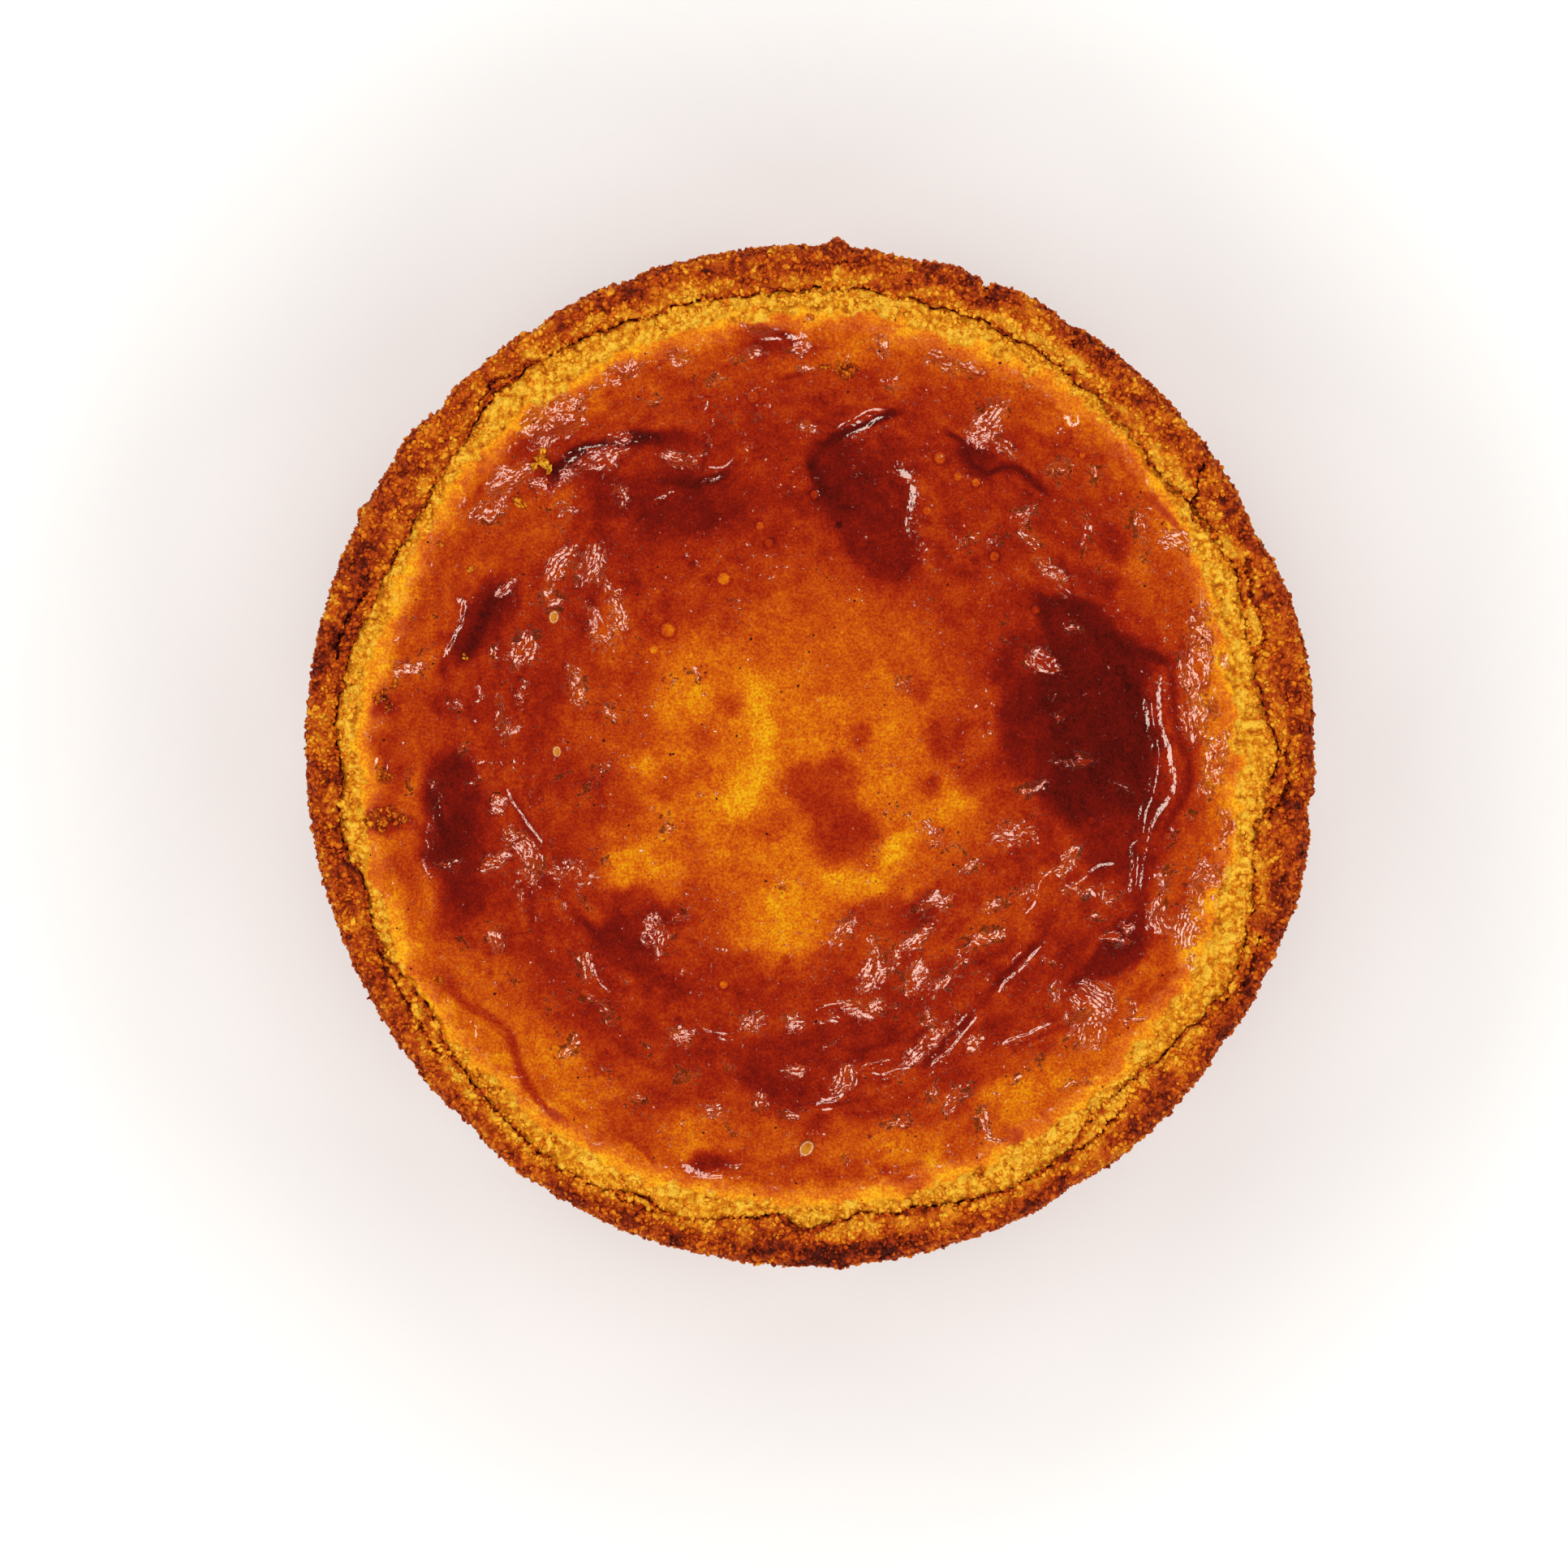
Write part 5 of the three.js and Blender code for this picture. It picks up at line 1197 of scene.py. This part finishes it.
def blisteredSkin():
    # thin bubbles blown in the skin as it set: paler than the skin round them, and glossy
    film = [(0.3, "#7a2406"), (0.75, "#a8480a"), (0.95, "#c27014"), (1.0, "#c47c1c")]
    material, tree, shader, place, read = newMaterial("blisteredSkin", ("grainTop",))
    # painted shade: each blister is painted darker where its surface turns away from straight up and paler on
    # its top, partly for its thin film
    topLightAndThinness = addUp(tree, read["grainTop"], (patternAt(tree, place, 0.6), 0.5))
    feed(tree, shader, {"Base Color": addNode(tree, "ShaderNodeValToRGB", {"stops": film}, {"Fac": topLightAndThinness}),
                        "Roughness": 0.2, "Coat Weight": 0.6, "Coat Roughness": 0.08})
    return material


def vanillaSeed():
    # vanilla seeds caught in the set custard: nearly black brown, dull where they are dry
    husk = [(0.3, "#1c0803"), (0.7, "#3c1508")]
    material, tree, shader, place, read = newMaterial("vanillaSeed")
    tone = addUp(tree, 0.5, (patternAt(tree, place, 0.3), 1.0))
    feed(tree, shader, {"Base Color": addNode(tree, "ShaderNodeValToRGB", {"stops": husk}, {"Fac": tone}),
                        "Roughness": 0.7, "Specular IOR Level": 0.1})
    return material


def mattePaper():
    # plain pale paper sweep under the flan
    material, tree, shader, place, read = newMaterial("mattePaper")
    feed(tree, shader, {"Base Color": linear("#fbfaf7"), "Roughness": 0.9, "Specular IOR Level": 0.1})
    return material


# Loose crumbs and blisters that lie in places of their own

crumbLook = {
    # x, y, size in mm, how browned
    "crumbs": [
        (-26.5, 28.7, 1.3, -0.1), (-28.9, 24.8, 0.7, 0.0), (3.1, 38.2, 0.8, 0.2), (3.9, 37.9, 0.8, 0.25),
        (3.3, 37.3, 0.6, 0.2), (1.4, 38.1, 0.5, 0.2), (-34.3, 9.3, 0.4, 0.0), (-33.7, 18.2, 0.5, 0.1),
        (-36.7, 20.3, 0.5, 0.2), (-42.1, -2.4, 0.9, 0.15), (-42.5, -1.8, 0.6, 0.2), (-42.8, 5.2, 0.8, 0.2),
        (-41.8, 4.6, 0.6, 0.25), (-41.2, 6.6, 0.6, 0.15), (-42.2, 5.9, 0.6, 0.2), (-43, -6.2, 0.8, 0.15),
        (-42.2, -6.8, 0.7, 0.25), (-41.3, -6.2, 0.7, 0.2), (-40.3, -6.6, 0.6, 0.25), (-42.6, -7.4, 0.7, 0.25),
        (-43.6, -7, 0.6, 0.1), (-41.7, -5.7, 0.6, 0.2), (-41, -7, 0.6, 0.3), (28.3, -35.8, 1.4, -0.1),
        (29.1, -34.9, 0.9, -0.1), (38.6, 22.4, 0.7, 0.2), (39.8, 21.4, 0.7, 0.25), (37.8, 23.1, 0.6, 0.2),
        (-36.7, -22.6, 0.6, 0.1), (16.6, -41.4, 0.7, 0.1),
    ],
    # x, y, size in mm of the bubbles that stand proud of the skin
    "beads": [(-25.5, 13.4, 1.3, 0), (-25.2, 0.1, 1.1, 0), (-0.5, -39.2, 1.7, 0)],
}


def withBits(crumbs):
    # bits broken off the larger crumbs lie round them
    random = np.random.default_rng(91)
    bits = []
    for x, y, size, browned in crumbs:
        for _ in range(int(size * 9)):
            turn, reach = random.uniform(0, 2 * math.pi), size * random.uniform(0.4, 0.9)
            bits.append((x + reach * math.cos(turn), y + reach * math.sin(turn),
                         size * random.uniform(0.25, 0.55), browned + random.uniform(-0.15, 0.15)))
    return crumbs + bits


def pointsOnTop(name, places, sink):
    # one vertex for each listed place, on the custard's top, with its size
    x, y, size, browned = (np.array(column, float) for column in zip(*places))
    angle = np.degrees(np.arctan2(y, x)) % 360
    edge = jointRadius(angle, flanForm["bandTop"]) - jointGap(angle, flanForm["bandTop"]) / 2
    height = custardTop(x, y, angle, edge)[0]
    points = np.stack([x, y, height - sink * size], axis=1)
    values = {"size": size * millimetre, "bake": browned, "crumbTone": np.zeros(len(x))}
    return makeMesh(name, points, [], values)


def place(piece, slotName, *nodes):
    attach(piece, "root")
    if nodes:
        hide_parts(*nodes)


def thinned(piece, triangles):
    # flat stretches need fewer triangles than folds do
    modifier = piece.modifiers.new("Thinning", "DECIMATE")
    piece.data.calc_loop_triangles()
    modifier.ratio = triangles / len(piece.data.loop_triangles)
    bpy.context.view_layer.update()
    evaluated = piece.evaluated_get(bpy.context.evaluated_depsgraph_get())
    mesh = bpy.data.meshes.new_from_object(evaluated)
    piece.modifiers.remove(modifier)
    piece.data = mesh
    mesh.name = piece.name
    return piece


caseRelief = {
    "Grain size": crustLook["grainSize"] * millimetre,
    "Grain height": crustLook["grainHeight"] * millimetre,
    "Lump size": crustLook["lumpSize"] * millimetre,
    "Lump height": crustLook["lumpHeight"] * millimetre,
}
case = runTree(buildCase(), sandyReliefTree(bakedShortcrust()), caseRelief, "crustCase")
place(case, "pastry", "crust")
print("case:", len(case.data.polygons), "faces")

custard = thinned(buildCustard(), custardLook["triangles"])
custard.data.materials.append(scorchedCustardSkin())
place(custard, "custard", "custard")
print("custard:", len(custard.data.polygons), "faces")

# scattered grains: density is a square metre's count
crustGrainLook = {
    "Density": 5.2e6,
    "Grain size": 0.5 * millimetre,
    "Size spread": 0.45,
    "Chipping": 0.45 * millimetre,
}
looseShortcrust = crumbledShortcrust("crumbledShortcrust", 0.01)
for pieceName, chanceName, seed in (("crustGrains", "grainChance", 7), ("sideGrains", "sideChance", 8)):
    grains = runTree(case, scatterTree(pieceName, looseShortcrust, chanceName),
                     crustGrainLook | {"Seed": seed},
                     pieceName, keepSource=True)
    place(grains, "pastry")
    print(pieceName + ":", len(grains.data.polygons), "faces")

bandGrainLook = {
    "Density": 4.2e6,
    "Grain size": 0.42 * millimetre,
    "Size spread": 0.5,
    "Chipping": 0.45 * millimetre,
    "Seed": 11,
}
bandGrains = runTree(custard, scatterTree("bandGrains", crumbledShortcrust("paleCrumb", 0.03)), bandGrainLook,
                     "bandGrains", keepSource=True)
place(bandGrains, "custard")
print("grains on the band:", len(bandGrains.data.polygons), "faces")

seedLook = {
    "Density": 5.0e4,
    "Grain size": 0.2 * millimetre,
    "Size spread": 0.35,
    "Chipping": 0.05 * millimetre,
    "Seed": 5,
}
seeds = runTree(custard, scatterTree("seedScatter", vanillaSeed(), "seedChance", 2), seedLook, "vanillaSeeds",
                keepSource=True)
place(seeds, "custard")
print("vanilla seeds:", len(seeds.data.polygons), "faces")

looseCrumbs = runTree(pointsOnTop("looseCrumbs", withBits(crumbLook["crumbs"]), -0.1),
                      listedTree("listedCrumbs", crumbledShortcrust("looseCrumb", -0.47)),
                      {"Chipping": 1.5 * millimetre, "Flatness": 0.75, "Turning": fullTurn}, "looseCrumbs")
place(looseCrumbs, "pastry")
blisters = runTree(pointsOnTop("blisters", crumbLook["beads"], 0.05),
                   listedTree("listedBlisters", blisteredSkin()),
                   {"Chipping": 0.06 * millimetre, "Flatness": 0.42, "Turning": 0.0}, "blisters")
place(blisters, "custard")
print("crumbs and blisters:", len(looseCrumbs.data.polygons) + len(blisters.data.polygons), "faces")


# Floor, light and camera

studioLook = {
    # a ring of long softboxes, end to end: turn in degrees, power in watts
    "lights": [(0, 1.47), (45, 1.2), (90, 1.3), (135, 1.47), (180, 1.47), (225, 1.38), (270, 1.47),
               (315, 1.47)],
    "lightDistance": 0.8,
    "lightZenith": 45.0,
    "lightHeight": 0.22,
    "lightLength": 0.45,
    "worldLight": 0.03,
    "cameraHeight": 0.75,
    # millimetres across the picture at the rim, and the place under the camera
    "frameWidth": 154.56,
    "aim": (-2.72, -3.12),
    "floorHalf": 2000,
}


def buildStudio():
    look = studioLook
    half = look["floorHalf"]
    corners = [(-half, -half, 0), (half, -half, 0), (half, half, 0), (-half, half, 0)]
    floor = makeMesh("floor", corners, [(0, 1, 2, 3)])
    floor.data.materials.append(mattePaper())
    world = bpy.data.worlds.new("studio")
    world.use_nodes = True
    feed(world.node_tree, world.node_tree.nodes["Background"],
         {"Color": (1, 1, 1, 1), "Strength": look["worldLight"]})
    bpy.context.scene.world = world
    tilt = math.radians(look["lightZenith"])
    for degrees, power in look["lights"]:
        turn = math.radians(degrees)
        light = bpy.data.lights.new(f"softbox{degrees}", "AREA")
        light.shape, light.energy = "ELLIPSE", power
        light.size, light.size_y = look["lightHeight"], look["lightLength"]
        lamp = bpy.data.objects.new(light.name, light)
        lamp.location = (look["lightDistance"] * math.sin(tilt) * math.cos(turn),
                         look["lightDistance"] * math.sin(tilt) * math.sin(turn),
                         look["lightDistance"] * math.cos(tilt) + 0.035)
        lamp.rotation_euler = (0, tilt, turn)
        bpy.context.scene.collection.objects.link(lamp)
    camera = bpy.data.cameras.new("camera")
    camera.lens = camera.sensor_width * look["cameraHeight"] / (look["frameWidth"] * millimetre)
    camera.clip_start = 0.05
    eye = bpy.data.objects.new("camera", camera)
    eye.location = (look["aim"][0] * millimetre, look["aim"][1] * millimetre,
                    look["cameraHeight"] + flanForm["rimHeight"] * millimetre)
    bpy.context.scene.collection.objects.link(eye)
    bpy.context.scene.camera = eye
    bpy.context.scene.view_settings.view_transform = "Standard"


buildStudio()
print("studio is set")
